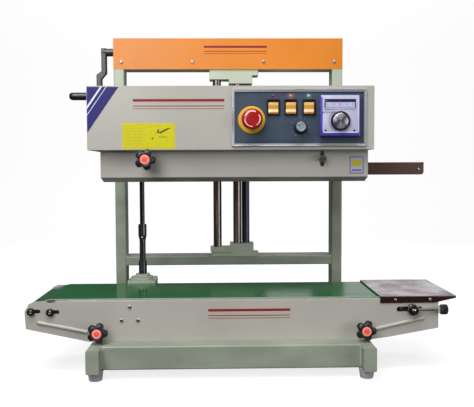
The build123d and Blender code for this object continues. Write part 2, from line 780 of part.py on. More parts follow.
parts = {
    "left_foot_tube": foot_tube(frame_left + tube / 2),
    "right_foot_tube": foot_tube(frame_right - tube / 2),
    "front_cross_tube": cross_tube(front_tube_y),
    "rear_cross_tube": cross_tube(rear_tube_y),
    "rubber_feet": rubber_feet(),
    "left_upright": upright(frame_left + tube / 2),
    "right_upright": upright(frame_right - tube / 2),
    "middle_beam": middle_beam(),
    "top_housing": top_housing(),
    "lift_cover": lift_cover(),
    "top_column_bracket": top_column_bracket(),
    "base_column_bracket": base_column_bracket(),
    "guide_columns": guide_columns(),
    "lead_screw": lead_screw(),
    "crank": crank(),
    "crank_grip": crank_grip(),
    "conveyor_front_plate": conveyor_front_plate(),
    "conveyor_rear_plate": conveyor_rear_plate(),
    "slider_bed": slider_bed(),
    "conveyor_belt": conveyor_belt(),
    "nose_roller": plain_roller(nose_x, nose_z, nose_radius, axle_radius),
    "support_roller": plain_roller(support_x, axle_z, roller_radius, axle_radius),
    "tail_roller": plain_roller(tail_x, axle_z, roller_radius, tail_axle_radius),
    "drive_roller": drive_roller(),
    "belt_drive_housing": belt_drive_housing(),
    "drive_sleeve": drive_sleeve(),
    "drive_rod": drive_rod(),
    "tail_axle": tail_axle(),
    "tension_knob": tension_knob(),
    "feed_tray": feed_tray(),
    "frame_fasteners": frame_fasteners(),
    "head_case": head_case(),
    "head_base_plate": head_base_plate(),
    "lower_front_cover": lower_front_cover(),
    "lower_rear_guard": lower_rear_guard(),
    "infeed_guides": infeed_guides(),
    "control_panel": control_panel(),
    "temperature_controller": temperature_controller(),
    "temperature_dial": temperature_dial(),
    "stop_collar": stop_collar(),
    "stop_button": stop_button(),
    "switch_frames": switch_frames(),
    "speed_knob": speed_knob(),
    "carriage": carriage(),
    "gear_motor": gear_motor(),
    "sealing_blocks": sealing_blocks(),
    "sealing_bands": sealing_bands(),
    "front_drive_wheel": front_drive_wheel(),
    "rear_drive_wheel": rear_drive_wheel(),
    "front_idler_wheel": band_wheel(idler_wheel_x, front_wheel_y, 458),
    "rear_idler_wheel": band_wheel(idler_wheel_x, rear_wheel_y, 458),
    "front_press_roller": press_roller(seal_y - press_offset),
    "rear_press_roller": press_roller(seal_y + press_offset),
    "pressure_knob": star_knob(pressure_x, pressure_z, head_front - 18, cover_front + 10, -3),
    "thumb_screw": thumb_screw(),
}
for side, x in zip(("left", "middle", "right"), rocker_xs):
    parts[f"{side}_rocker"] = rocker(x)
for name, (x, z) in lock_knobs.items():
    parts[name] = star_knob(x, z, conveyor_front - 32, conveyor_front + 10, -3)

os.makedirs("parts", exist_ok=True)
for name, shape in parts.items():
    export_step(shape, f"parts/{name}.step")
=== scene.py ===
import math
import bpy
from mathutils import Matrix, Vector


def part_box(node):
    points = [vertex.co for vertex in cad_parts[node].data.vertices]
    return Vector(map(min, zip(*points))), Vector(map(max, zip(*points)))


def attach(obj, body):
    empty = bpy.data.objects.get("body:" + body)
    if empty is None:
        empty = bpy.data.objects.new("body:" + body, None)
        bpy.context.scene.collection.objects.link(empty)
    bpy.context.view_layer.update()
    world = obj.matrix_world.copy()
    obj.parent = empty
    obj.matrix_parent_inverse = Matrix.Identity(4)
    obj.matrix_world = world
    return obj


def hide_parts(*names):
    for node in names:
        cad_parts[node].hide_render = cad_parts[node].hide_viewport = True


bl_info = {
    "name": "Band sealer looks",
    "version": (1, 0, 0),
    "blender": (4, 5, 0),
    "location": "View3D > Sidebar > Band sealer",
    "description": "Builds the finishes, moulded parts and stage of a vertical continuous band sealer",
    "category": "Object",
}

import bmesh
import bpy
from bpy.props import FloatProperty, FloatVectorProperty, IntProperty, PointerProperty
from mathutils import Matrix, Vector

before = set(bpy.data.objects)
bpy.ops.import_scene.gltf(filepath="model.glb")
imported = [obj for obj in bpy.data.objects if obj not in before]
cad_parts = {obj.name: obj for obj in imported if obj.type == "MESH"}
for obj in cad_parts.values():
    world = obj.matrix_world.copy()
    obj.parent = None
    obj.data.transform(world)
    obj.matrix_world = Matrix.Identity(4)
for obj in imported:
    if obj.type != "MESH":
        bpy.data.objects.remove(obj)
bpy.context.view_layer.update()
MM = 0.001
PANEL_FACE = -186 * MM  # the front of the control panel's plate
PLATE_FACE = -158 * MM  # the front of the conveyor's side plate and of the cover under the head
CASE_BACK = 122 * MM  # the rear of the head case

# The local Z axis of a turned part points along one of these.
UPWARD = Matrix.Identity(4)
TO_OPERATOR = Matrix.Rotation(math.radians(90), 4, "X")
TO_BACK = Matrix.Rotation(math.radians(-90), 4, "X")
TO_LEFT = Matrix.Rotation(math.radians(-90), 4, "Y")
TO_RIGHT = Matrix.Rotation(math.radians(90), 4, "Y")


# ------------------------------------------------------------------ settings
def colour_property(name, description, default):
    return FloatVectorProperty(
        name=name, description=description, default=default, size=3, min=0.0, max=1.0, subtype="COLOR"
    )


def power_property(name, description, default):
    return FloatProperty(name=name, description=description, default=default, min=0.0, unit="POWER")


class BandSealerColours(bpy.types.PropertyGroup):
    stand: colour_property("Stand", "Sage enamel of the stand and castings", (0.40, 0.45, 0.35))
    cover: colour_property("Cover", "Orange enamel of the lift cover", (0.62, 0.195, 0.013))
    sheet: colour_property("Sheet", "Warm grey enamel of the head and conveyor", (0.40, 0.385, 0.345))
    panel: colour_property("Panel", "Slate blue of the control panel", (0.045, 0.063, 0.093))
    belt: colour_property("Belt", "Green of the conveyor belt", (0.005, 0.105, 0.028))
    column: colour_property("Columns", "Dark steel of the guide columns", (0.16, 0.125, 0.105))
    screw: colour_property("Lead screw", "Blackened steel of the lead screw", (0.036, 0.041, 0.062))
    black: colour_property("Black plastic", "Knobs and switch frames", (0.012, 0.012, 0.014))
    cap: colour_property("Knob cap", "Orange red of the star knobs' caps", (0.90, 0.10, 0.055))
    cap_rim: colour_property("Knob cap rim", "Pale red rim round the caps", (0.95, 0.30, 0.26))
    stop: colour_property("Stop button", "Red of the mushroom button", (0.35, 0.008, 0.010))
    collar: colour_property("Stop collar", "Yellow of the stop button's plate", (0.66, 0.38, 0.012))
    controller: colour_property("Controller", "Blue violet of the controller's body", (0.060, 0.050, 0.36))
    face: colour_property("Controller face", "Lilac grey of the controller's face", (0.46, 0.45, 0.62))
    label: colour_property("Label", "Yellow of the printed label", (0.56, 0.51, 0.004))
    sticker: colour_property("Corner sticker", "Deep blue of the corner sticker", (0.014, 0.011, 0.14))
    trim: colour_property("Trim stripes", "Dark red of the printed stripes", (0.24, 0.012, 0.016))
    feet: colour_property("Rubber feet", "Pale rubber", (0.44, 0.42, 0.48))


class BandSealerSizes(bpy.types.PropertyGroup):
    edge: FloatProperty(
        name="Edge rounding", description="Radius on sheet and tube edges", default=0.0011, min=0.0,
        unit="LENGTH")
    thread_pitch: FloatProperty(
        name="Lead", description="Lead of the lift screw", default=0.005, min=0.001, unit="LENGTH")
    weld: FloatProperty(
        name="Weld bead", description="Half width of a weld bead", default=0.0022, min=0.0005,
        unit="LENGTH")
    lobes: IntProperty(name="Knob lobes", description="Lobes on a star knob", default=5, min=3, max=9)
    knurls: IntProperty(name="Knurls", description="Ridges round a knurled knob", default=28, min=8, max=60)


class BandSealerStage(bpy.types.PropertyGroup):
    lens: FloatProperty(name="Lens", description="Focal length on a 36 mm sensor", default=51.04, min=10.0)
    eye: FloatVectorProperty(
        name="Eye", description="Place of the camera", default=(-0.0385, -1.4718, 0.4056), size=3,
        subtype="TRANSLATION")
    turn: FloatProperty(
        name="Turn", description="Camera turned to the right", default=0.023, subtype="ANGLE")
    dip: FloatProperty(name="Dip", description="Camera tilted down", default=0.052, subtype="ANGLE")
    roll: FloatProperty(
        name="Roll", description="Camera rolled about its line of sight", default=-0.004, subtype="ANGLE")
    key: power_property("Key light", "Power of the key light", 27.0)
    fill: power_property("Fill light", "Power of the front fill lights", 20.0)
    top: power_property("Top light", "Power of the light high over the front edge", 38.0)
    back: power_property("Back light", "Power of the light behind and above", 20.0)
    sky: FloatProperty(name="Surround", description="Strength of the white surround", default=0.08, min=0.0)
    paper: FloatProperty(
        name="Paper glow", description="How far the backdrop lifts its own shadows", default=0.80, min=0.0,
        max=1.0)


def colours():
    return bpy.context.scene.band_sealer_colours


def sizes():
    return bpy.context.scene.band_sealer_sizes


def middle(node):
    low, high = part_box(node)
    return (low + high) / 2


# ------------------------------------------------------------------ material building
def scaled(colour, factor):
    return tuple(min(1.0, channel * factor) for channel in colour[:3])


def opaque(colour):
    return (*colour[:3], 1.0)


class Finish:
    """A procedural material under construction: its node tree and the sockets that feed it."""

    def __init__(self, name, roughness, metallic=0.0, **sockets):
        self.material = bpy.data.materials.new(name)
        self.material.use_nodes = True
        self.tree = self.material.node_tree
        self.shader = next(node for node in self.tree.nodes if node.type == "BSDF_PRINCIPLED")
        self.shader.inputs["Roughness"].default_value = roughness
        self.shader.inputs["Metallic"].default_value = metallic
        for socket, value in sockets.items():
            self.shader.inputs[socket.replace("_", " ")].default_value = value
        self.place = self.add("ShaderNodeTexCoord").outputs["Object"]

    def add(self, kind, inputs=None, **settings):
        node = self.tree.nodes.new(kind)
        for name, value in settings.items():
            setattr(node, name, value)
        for key, value in (inputs or {}).items():
            if isinstance(value, bpy.types.NodeSocket):
                self.tree.links.new(value, node.inputs[key])
            else:
                node.inputs[key].default_value = value
        return node

    def feed(self, socket, value):
        self.tree.links.new(value, self.shader.inputs[socket])

    def noise(self, scale, detail=3.0, stretch=(1.0, 1.0, 1.0)):
        mapped = self.add("ShaderNodeMapping", {"Vector": self.place, "Scale": stretch})
        texture = {"Vector": mapped.outputs["Vector"], "Scale": scale, "Detail": detail}
        return self.add("ShaderNodeTexNoise", texture).outputs["Fac"]

    def spread(self, value, low, high, out_low=0.0, out_high=1.0):
        inputs = {"Value": value, "From Min": low, "From Max": high, "To Min": out_low, "To Max": out_high}
        return self.add("ShaderNodeMapRange", inputs).outputs["Result"]

    def maths(self, operation, first, second=0.0):
        return self.add("ShaderNodeMath", {0: first, 1: second}, operation=operation).outputs[0]

    def blend(self, factor, first, second):
        colour = [opaque(value) if isinstance(value, tuple) else value for value in (first, second)]
        node = self.add("ShaderNodeMix", {0: factor, 6: colour[0], 7: colour[1]}, data_type="RGBA")
        return node.outputs[2]

    def axes(self):
        return self.add("ShaderNodeSeparateXYZ", {"Vector": self.place}).outputs

    def within(self, value, low, high):
        """1 where the value lies between the two bounds, 0 elsewhere."""
        above = self.maths("GREATER_THAN", value, low)
        below = self.maths("LESS_THAN", value, high)
        return self.maths("MULTIPLY", above, below)

    def rounded(self, radius):
        """A normal that rounds sharp edges, and a mask of those edges."""
        bevel = self.add("ShaderNodeBevel", {"Radius": radius}, samples=4).outputs["Normal"]
        flat = self.add("ShaderNodeNewGeometry").outputs["Normal"]
        facing = self.add(
            "ShaderNodeVectorMath", {0: bevel, 1: flat}, operation="DOT_PRODUCT").outputs["Value"]
        return bevel, self.spread(facing, 0.995, 0.86)

    def bump(self, height, distance, normal=None, strength=1.0):
        inputs = {"Height": height, "Distance": distance, "Strength": strength}
        if normal is not None:
            inputs["Normal"] = normal
        self.feed("Normal", self.add("ShaderNodeBump", inputs).outputs["Normal"])


def enamel(name, colour, roughness=0.36, peel=900.0, grime=0.10, wear=0.30, chip=1.35, painted_shade_band=None):
    """Sprayed enamel: patchy depth of colour, orange peel, grime and chipped edges.

    Painted shade band is (lit height, shaded height, amount, colour factor): painted shade darkens the
    paint between the two heights and stays full beyond the shaded height.
    """
    finish = Finish(name, roughness, Coat_Weight=0.12, Coat_Roughness=0.2)
    normal, edge = finish.rounded(sizes().edge)
    patches = finish.noise(7.0, detail=5.0)
    shade = finish.blend(finish.spread(patches, 0.3, 0.7), scaled(colour, 0.94), scaled(colour, 1.05))
    smudges = finish.noise(26.0, detail=6.0, stretch=(0.5, 1.0, 1.6))
    shade = finish.blend(finish.spread(smudges, 0.60, 0.76, 0.0, grime), shade, scaled(colour, 0.35))
    # Painted shade: the colour darkens below a height. It stands for the head's shadow on the stand and for
    # the shade on the lower cover's bottom lip.
    if painted_shade_band:
        lit_height, shaded_height, amount, factor = painted_shade_band
        streaks = finish.spread(
            finish.noise(9.0, detail=6.0, stretch=(1.0, 1.0, 3.0)), 0.25, 0.65, amount / 2, amount)
        depth = finish.maths("MULTIPLY", finish.spread(finish.axes()[2], lit_height, shaded_height), streaks)
        shade = finish.blend(depth, shade, scaled(colour, factor))
    worn = finish.maths(
        "MULTIPLY", edge, finish.spread(finish.noise(60.0, detail=5.0), 0.45, 0.6, 0.0, wear))
    shade = finish.blend(worn, shade, scaled(colour, chip))
    finish.feed("Base Color", shade)
    finish.feed("Roughness", finish.spread(patches, 0.3, 0.7, roughness - 0.05, roughness + 0.07))
    finish.bump(finish.noise(peel, detail=1.0), 0.00005, normal)
    return finish.material


def brushed(
    name, colour, roughness=0.28, grain=(1.0, 1.0, 40.0), scale=60.0, metallic=1.0, streaks=0.12,
    edge=True):
    """Ground or drawn metal: fine lines across the stretched axis, with soft stains."""
    finish = Finish(name, roughness, metallic, Anisotropic=0.35)
    lines = finish.noise(scale, detail=4.0, stretch=grain)
    stains = finish.noise(14.0, detail=4.0)
    shade = finish.blend(
        finish.spread(lines, 0.3, 0.7), scaled(colour, 1 - streaks), scaled(colour, 1 + streaks))
    shade = finish.blend(finish.spread(stains, 0.5, 0.75, 0.0, 0.25), shade, scaled(colour, 0.7))
    finish.feed("Base Color", shade)
    finish.feed("Roughness", finish.spread(lines, 0.25, 0.75, roughness - 0.07, roughness + 0.09))
    normal = finish.rounded(0.0005)[0] if edge else None
    finish.bump(lines, 0.00002, normal)
    return finish.material


def moulded(name, colour, roughness=0.38, grain=1400.0, depth=0.00003, **sockets):
    """Moulded plastic: a fine spark-eroded grain and handling marks that change its gloss."""
    finish = Finish(name, roughness, **sockets)
    marks = finish.noise(35.0, detail=5.0)
    shade = finish.blend(finish.spread(marks, 0.35, 0.7), scaled(colour, 0.92), scaled(colour, 1.10))
    finish.feed("Base Color", shade)
    finish.feed("Roughness", finish.spread(marks, 0.35, 0.7, roughness - 0.06, roughness + 0.10))
    finish.bump(finish.noise(grain, detail=2.0), depth)
    return finish.material


def printed(name, colour, roughness=0.42):
    """Screen-printed ink or vinyl film: even colour with a faint mottle and tiny pinholes."""
    finish = Finish(name, roughness, Specular_IOR_Level=0.3)
    mottle = finish.noise(180.0, detail=4.0)
    finish.feed(
        "Base Color",
        finish.blend(finish.spread(mottle, 0.3, 0.7), scaled(colour, 0.94), scaled(colour, 1.06)))
    finish.feed("Roughness", finish.spread(mottle, 0.3, 0.7, roughness - 0.05, roughness + 0.05))
    finish.bump(mottle, 0.00001)
    return finish.material


def dress(material, *nodes):
    """Gives CAD nodes a material in place of the one that they came with."""
    for node in nodes:
        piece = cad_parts[node]
        for slot in piece.material_slots:
            slot.material = material
        if not piece.material_slots:
            piece.data.materials.append(material)


# ------------------------------------------------------------------ mesh building
def place(rotation, x, y, z):
    return Matrix.Translation((x, y, z)) @ rotation


def mm(*points):
    """Points given in millimetres, as metres."""
    return [tuple(value * MM for value in point) for point in points]


def added(mesh, before):
    return [vertex for vertex in mesh.verts if vertex not in before]


def soften(mesh, edges, offset, segments=2):
    bmesh.ops.bevel(
        mesh, geom=edges, offset=offset, offset_type="OFFSET", segments=segments, profile=0.5,
        affect="EDGES", material=-1)


def thicken(mesh, face, depth):
    """Draws a face out into a solid along a vector; returns the new vertices."""
    made = bmesh.ops.extrude_face_region(mesh, geom=[face])["geom"]
    moved = [item for item in made if isinstance(item, bmesh.types.BMVert)]
    bmesh.ops.translate(mesh, verts=moved, vec=depth)
    return moved


def turned(mesh, profile, matrix, steps=48):
    """Spins (radius, height) points about local Z, then puts the new shape in place."""
    before = set(mesh.verts)
    points = [mesh.verts.new((radius, 0.0, height)) for radius, height in profile]
    lines = [mesh.edges.new(pair) for pair in zip(points, points[1:])]
    bmesh.ops.spin(
        mesh, geom=points + lines, cent=(0, 0, 0), axis=(0, 0, 1), angle=2 * math.pi, steps=steps,
        use_merge=True)
    new = added(mesh, before)
    bmesh.ops.remove_doubles(mesh, verts=new, dist=1e-6)
    new = added(mesh, before)
    bmesh.ops.transform(mesh, matrix=matrix, verts=new)
    return new


def slab(mesh, low, high, bevel=0.0, segments=2):
    """A box between two corners, with rounded edges."""
    size = [top - bottom for bottom, top in zip(low, high)]
    centre = [(top + bottom) / 2 for bottom, top in zip(low, high)]
    matrix = Matrix.Translation(centre) @ Matrix.Diagonal((*size, 1.0))
    made = bmesh.ops.create_cube(mesh, size=1.0, matrix=matrix)["verts"]
    if bevel:
        soften(mesh, list({edge for vertex in made for edge in vertex.link_edges}), bevel, segments)


def arc(mesh, profile, start, sweep, matrix, steps=18):
    """Part of a ring about local Z: a closed (radius, height) outline spun through an angle in degrees."""
    before = set(mesh.verts)
    points = [mesh.verts.new((radius, 0.0, height)) for radius, height in profile]
    lines = [mesh.edges.new(pair) for pair in zip(points, points[1:] + points[:1])]
    bmesh.ops.spin(
        mesh, geom=points + lines, cent=(0, 0, 0), axis=(0, 0, 1), angle=math.radians(sweep), steps=steps)
    bmesh.ops.holes_fill(mesh, edges=[edge for edge in mesh.edges if edge.is_boundary], sides=0)
    turn = Matrix.Rotation(math.radians(start), 4, "Z")
    bmesh.ops.transform(mesh, matrix=matrix @ turn, verts=added(mesh, before))


def lobed_piece(name, body, material, profile, lobes, seat, steps, **look):
    """A spun piece with lobes, given as (inner radius, count, depth) and an optional turn."""
    mesh = bmesh.new()
    vertices = turned(mesh, profile, UPWARD, steps)
    lobed(vertices, *lobes)
    bmesh.ops.transform(mesh, matrix=seat, verts=vertices)
    finished(name, mesh, body, material, **look)


def spun_piece(name, body, material, profile, seat, steps=48, **look):
    """A plain spun piece in its seat."""
    mesh = bmesh.new()
    turned(mesh, profile, seat, steps)
    finished(name, mesh, body, material, **look)


def box_piece(name, body, material, low, high, bevel, segments=2, **look):
    """A single rounded box between two corners."""
    mesh = bmesh.new()
    slab(mesh, low, high, bevel, segments)
    finished(name, mesh, body, material, **look)


def sheet_metal(mesh, points, front, back, bevel=0.0):
    """A flat piece drawn as (x, z) points and given thickness along Y."""
    corners = [mesh.verts.new((x, front, z)) for x, z in points]
    moved = thicken(mesh, mesh.faces.new(corners), (0.0, back - front, 0.0))
    if bevel:
        soften(mesh, list({edge for vertex in corners + moved for edge in vertex.link_edges}), bevel)


def lobed(vertices, inner, count, depth, turn=0.0):
    """Draws vertices beyond the inner radius towards the axis between the lobes."""
    for vertex in vertices:
        radius = math.hypot(vertex.co.x, vertex.co.y)
        if radius > inner:
            angle = math.atan2(vertex.co.y, vertex.co.x) - turn
            valley = (0.5 - 0.5 * math.cos(count * angle)) ** 2.2
            share = min(1.0, (radius - inner) / inner)
            factor = 1 - depth * valley * share
            vertex.co.x *= factor
            vertex.co.y *= factor


def finished(name, mesh, body, material, slot=None, replaces=(), crease=35.0):
    """Closes a bmesh into a named piece that rides on a body."""
    bmesh.ops.remove_doubles(mesh, verts=mesh.verts, dist=1e-6)
    bmesh.ops.dissolve_degenerate(mesh, edges=mesh.edges, dist=1e-7)
    bmesh.ops.recalc_face_normals(mesh, faces=mesh.faces)
    data = bpy.data.meshes.new(name)
    mesh.to_mesh(data)
    mesh.free()
    data.shade_smooth()
    data.set_sharp_from_angle(angle=math.radians(crease))
    data.materials.append(material)
    piece = bpy.data.objects.new(name, data)
    bpy.context.scene.collection.objects.link(piece)
    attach(piece, body)
    if replaces:
        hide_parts(*replaces)


def text_piece(name, words, height, matrix, body, material):
    """Raised figures, centred on their place."""
    curve = bpy.data.curves.new(name, "FONT")
    curve.body = words
    curve.size = height
    curve.align_x = "CENTER"
    curve.align_y = "CENTER"
    curve.extrude = 0.00006
    holder = bpy.data.objects.new(name, curve)
    bpy.context.scene.collection.objects.link(holder)
    data = bpy.data.meshes.new_from_object(holder)
    bpy.data.objects.remove(holder)
    bpy.data.curves.remove(curve)
    data.transform(matrix)
    data.materials.append(material)
    piece = bpy.data.objects.new(name, data)
    bpy.context.scene.collection.objects.link(piece)
    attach(piece, body)


# ------------------------------------------------------------------ finishes on CAD nodes
def belt_finish():
    """Glossy green PVC with faint lengthwise drag marks, a slanted splice and a pale fabric edge."""
    green = colours().belt
    finish = Finish("belt_pvc", 0.14, Specular_IOR_Level=0.25)
    x, y, _ = finish.axes()
    drag = finish.noise(30.0, detail=5.0, stretch=(0.25, 5.0, 1.0))
    shade = finish.blend(finish.spread(drag, 0.3, 0.7), scaled(green, 0.80), scaled(green, 1.22))
    splice = finish.maths("ADD", x, finish.maths("MULTIPLY", y, 0.45))
    shade = finish.blend(finish.within(splice, 0.1560, 0.1568), shade, scaled(green, 0.45))
    side = finish.add("ShaderNodeNewGeometry").outputs["Normal"]
    across = finish.add("ShaderNodeSeparateXYZ", {"Vector": side}).outputs["Y"]
    edge = finish.maths("GREATER_THAN", finish.maths("ABSOLUTE", across), 0.8)
    shade = finish.blend(edge, shade, (0.30, 0.36, 0.28))
    finish.feed("Base Color", shade)
    finish.feed("Roughness", finish.spread(drag, 0.3, 0.7, 0.08, 0.20))
    finish.bump(finish.noise(500.0, detail=2.0), 0.00003)
    return finish.material


def tray_finish():
    """Polished stainless sheet under a tinted protective film, with its flanges a near-black brown."""
    finish = Finish("tray_stainless", 0.16, 0.75, Anisotropic=0.3)
    grain = finish.noise(90.0, detail=4.0, stretch=(0.4, 8.0, 1.0))
    marks = finish.noise(18.0, detail=6.0)
    x, _, z = finish.axes()
    film = finish.within(
        finish.maths("ADD", x, finish.spread(marks, 0.3, 0.7, -0.004, 0.004)), 0.302, 0.392)
    sheet = finish.blend(finish.spread(marks, 0.42, 0.62), (0.52, 0.50, 0.53), (0.38, 0.30, 0.33))
    shade = finish.blend(finish.maths("MULTIPLY", film, 0.5), sheet, (0.46, 0.29, 0.31))
    # Below the top edge, the flanges are coloured a near-black brown.
    flange = finish.maths("LESS_THAN", z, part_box("feed_tray")[1].z - 1.4 * MM)
    finish.feed("Base Color", finish.blend(flange, shade, (0.075, 0.030, 0.026)))
    finish.feed("Roughness", finish.spread(marks, 0.35, 0.65, 0.12, 0.30))
    finish.bump(grain, 0.00002, finish.rounded(0.0006)[0])
    return finish.material


def panel_finish():
    """One plate and its bezel: slate ink inside the bright anodised rim."""
    low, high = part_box("control_panel")
    rim = 4.9 * MM
    finish = Finish("control_panel_face", 0.32, Specular_IOR_Level=0.35)
    x, _, z = finish.axes()
    inside = finish.maths(
        "MULTIPLY", finish.within(x, low.x + rim, high.x - rim),
        finish.within(z, low.z + rim, high.z - rim))
    lines = finish.noise(80.0, detail=4.0, stretch=(0.6, 1.0, 30.0))
    mottle = finish.noise(9.0, detail=5.0)
    slate = colours().panel
    ink = finish.blend(finish.spread(mottle, 0.3, 0.7), scaled(slate, 0.82), scaled(slate, 1.25))
    rim_metal = finish.blend(finish.spread(lines, 0.3, 0.7), (0.50, 0.51, 0.54), (0.66, 0.67, 0.70))
    finish.feed("Base Color", finish.blend(inside, rim_metal, ink))
    finish.feed("Metallic", finish.spread(inside, 0.0, 1.0, 0.85, 0.0))
    finish.feed("Roughness", finish.spread(lines, 0.3, 0.7, 0.28, 0.40))
    finish.bump(lines, 0.000015, finish.rounded(0.0006)[0])
    return finish.material


def column_finish(name, colour):
    """Oiled ground steel with long vertical drag lines."""
    finish = Finish(name, 0.24, 0.85, Coat_Weight=0.3, Coat_Roughness=0.1)
    drawn = finish.noise(120.0, detail=4.0, stretch=(1.0, 1.0, 0.04))
    shade = finish.blend(finish.spread(drawn, 0.35, 0.65), scaled(colour, 0.65), scaled(colour, 1.9))
    finish.feed("Base Color", shade)
    finish.feed("Roughness", finish.spread(drawn, 0.3, 0.7, 0.18, 0.34))
    finish.bump(drawn, 0.00001)
    return finish.material


def tape_finish():
    """Coated glass cloth: a plain weave under a brown film."""
    finish = Finish("band_tape_cloth", 0.35, Sheen_Weight=0.1)
    x, _, z = finish.axes()
    warp = finish.maths("SINE", finish.maths("MULTIPLY", x, 4200.0))
    weft = finish.maths("SINE", finish.maths("MULTIPLY", z, 4200.0))
    weave = finish.maths("MULTIPLY", warp, weft)
    finish.feed(
        "Base Color", finish.blend(finish.spread(weave, -1.0, 1.0), (0.24, 0.15, 0.07), (0.36, 0.25, 0.13)))
    finish.bump(weave, 0.00004)
    return finish.material


class BAND_SEALER_OT_cad_finishes(bpy.types.Operator):
    """Gives every CAD node that stays in view its own finish"""

    bl_idname = "band_sealer.cad_finishes"
    bl_label = "CAD finishes"

    def execute(self, context):
        paint = colours()
        # Painted shade: the stand darkens from 0.46 m down to 0.33 m, where the head shades the uprights.
        stand = enamel(
            "stand_enamel", paint.stand, roughness=0.42, peel=620.0, grime=0.40, wear=0.75, chip=0.16,
            painted_shade_band=(0.46, 0.33, 0.80, 0.50))
        dress(
            stand, "left_foot_tube", "right_foot_tube", "front_cross_tube", "rear_cross_tube",
            "left_upright", "right_upright", "middle_beam", "top_housing")
        casting = enamel(
            "casting_enamel", scaled(paint.stand, 1.08), roughness=0.34, peel=300.0, grime=0.25, wear=0.8,
            chip=0.14)
        dress(casting, "top_column_bracket", "base_column_bracket", "belt_drive_housing", "carriage")
        dress(enamel("cover_enamel", paint.cover, roughness=0.38, peel=1200.0, grime=0.05), "lift_cover")
        sheet = enamel("sheet_enamel", paint.sheet, roughness=0.40, peel=1500.0, grime=0.06)
        dress(
            sheet, "head_case", "head_base_plate", "lower_rear_guard", "conveyor_front_plate",
            "conveyor_rear_plate")
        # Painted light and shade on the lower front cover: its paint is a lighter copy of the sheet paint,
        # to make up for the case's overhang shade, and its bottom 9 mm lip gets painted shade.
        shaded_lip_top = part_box("lower_front_cover")[0].z + 9 * MM
        dress(
            enamel(
                "guard_enamel", scaled(paint.sheet, 1.08), roughness=0.40, peel=1500.0, grime=0.06,
                painted_shade_band=(shaded_lip_top + 0.4 * MM, shaded_lip_top - 0.4 * MM, 1.0, 0.30)),
            "lower_front_cover")
        dress(moulded("foot_rubber", paint.feet, roughness=0.65, grain=700.0, depth=0.00006), "rubber_feet")
        dress(belt_finish(), "conveyor_belt")
        dress(tray_finish(), "feed_tray")
        dress(panel_finish(), "control_panel")
        dress(column_finish("column_steel", paint.column), "guide_columns")
        bright = brushed("machined_steel", (0.50, 0.50, 0.51), roughness=0.30)
        dress(
            bright, "slider_bed", "frame_fasteners", "nose_roller", "support_roller", "tail_roller",
            "drive_roller", "front_drive_wheel", "rear_drive_wheel", "front_idler_wheel",
            "rear_idler_wheel", "front_press_roller", "rear_press_roller")
        dress(
            brushed("block_aluminium", (0.60, 0.60, 0.62), roughness=0.36, grain=(1.0, 30.0, 1.0)),
            "sealing_blocks")
        dress(tape_finish(), "sealing_bands")
        dark = column_finish("blackened_steel", (0.026, 0.027, 0.033))
        dress(dark, "drive_rod", "tail_axle")
        dress(column_finish("sleeve_steel", (0.062, 0.062, 0.068)), "drive_sleeve")
        dress(
            enamel("crank_enamel", (0.022, 0.026, 0.034), roughness=0.26, peel=500.0, grime=0.0, wear=0.6),
            "crank")
        dress(
            brushed("guide_strip_steel", (0.15, 0.088, 0.078), roughness=0.34, grain=(30.0, 1.0, 1.0)),
            "infeed_guides")
        dress(brushed("thumb_screw_steel", (0.30, 0.26, 0.25), roughness=0.24), "thumb_screw")
        dress(enamel("motor_enamel", (0.05, 0.055, 0.065), roughness=0.45), "gear_motor")
        dress(moulded("switch_frame_plastic", paint.black, roughness=0.30), "switch_frames")
        return {"FINISHED"}


# ------------------------------------------------------------------ knobs and handles
KNOB_PROFILE = [
    (0.0, 15.0), (9.8, 15.0), (11.2, 15.8), (14.5, 15.4), (18.0, 13.4), (20.0, 10.2), (20.6, 7.0),
    (19.8, 3.2), (17.0, 0.8), (13.0, 0.0), (10.2, -1.2), (9.2, -4.0), (9.0, -12.0), (0.0, -12.0)]


class BAND_SEALER_OT_star_knobs(bpy.types.Operator):
    """Models the three star knobs with their two-part caps"""

    bl_idname = "band_sealer.star_knobs"
    bl_label = "Star knobs"

    def execute(self, context):
        paint = colours()
        black = moulded("knob_plastic", paint.black, roughness=0.34, grain=1100.0)
        rim = moulded("cap_rim_plastic", paint.cap_rim, roughness=0.30)
        centre = moulded("cap_plastic", paint.cap, roughness=0.28)
        zinc = brushed("stud_zinc", (0.45, 0.45, 0.44), roughness=0.3)
        for node in ("pressure_knob", "left_lock_knob", "right_lock_knob"):
            low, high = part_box(node)
            x, z = middle(node).x, middle(node).z
            front = low.y
            seat = place(TO_OPERATOR, x, front + 15 * MM, z)
            profile = mm(*KNOB_PROFILE)
            lobed_piece(
                f"{node}_grip", node, black, profile, (9.9 * MM, sizes().lobes, 0.30, math.radians(-3)),
                seat, 90, slot="knob_black", replaces=[node], crease=60)
            spun_piece(
                f"{node}_cap_rim", node, rim,
                mm(
                    (0.0, 15.0), (9.1, 15.0), (9.1, 15.8), (8.5, 16.4), (5.8, 16.4), (5.3, 15.9),
                    (0.0, 15.9)),
                seat)
            spun_piece(
                f"{node}_cap", node, centre,
                mm((0.0, 15.85), (5.2, 15.85), (5.2, 16.2), (4.6, 16.7), (0.0, 17.0)), seat)
            spun_piece(
                f"{node}_stud", node, zinc,
                [
                    (0.0, 0.0), (4 * MM, 0.0), (4 * MM, high.y - front - 27 * MM),
                    (0.0, high.y - front - 27 * MM)],
                place(TO_BACK, x, front + 27 * MM, z), 24)
        return {"FINISHED"}


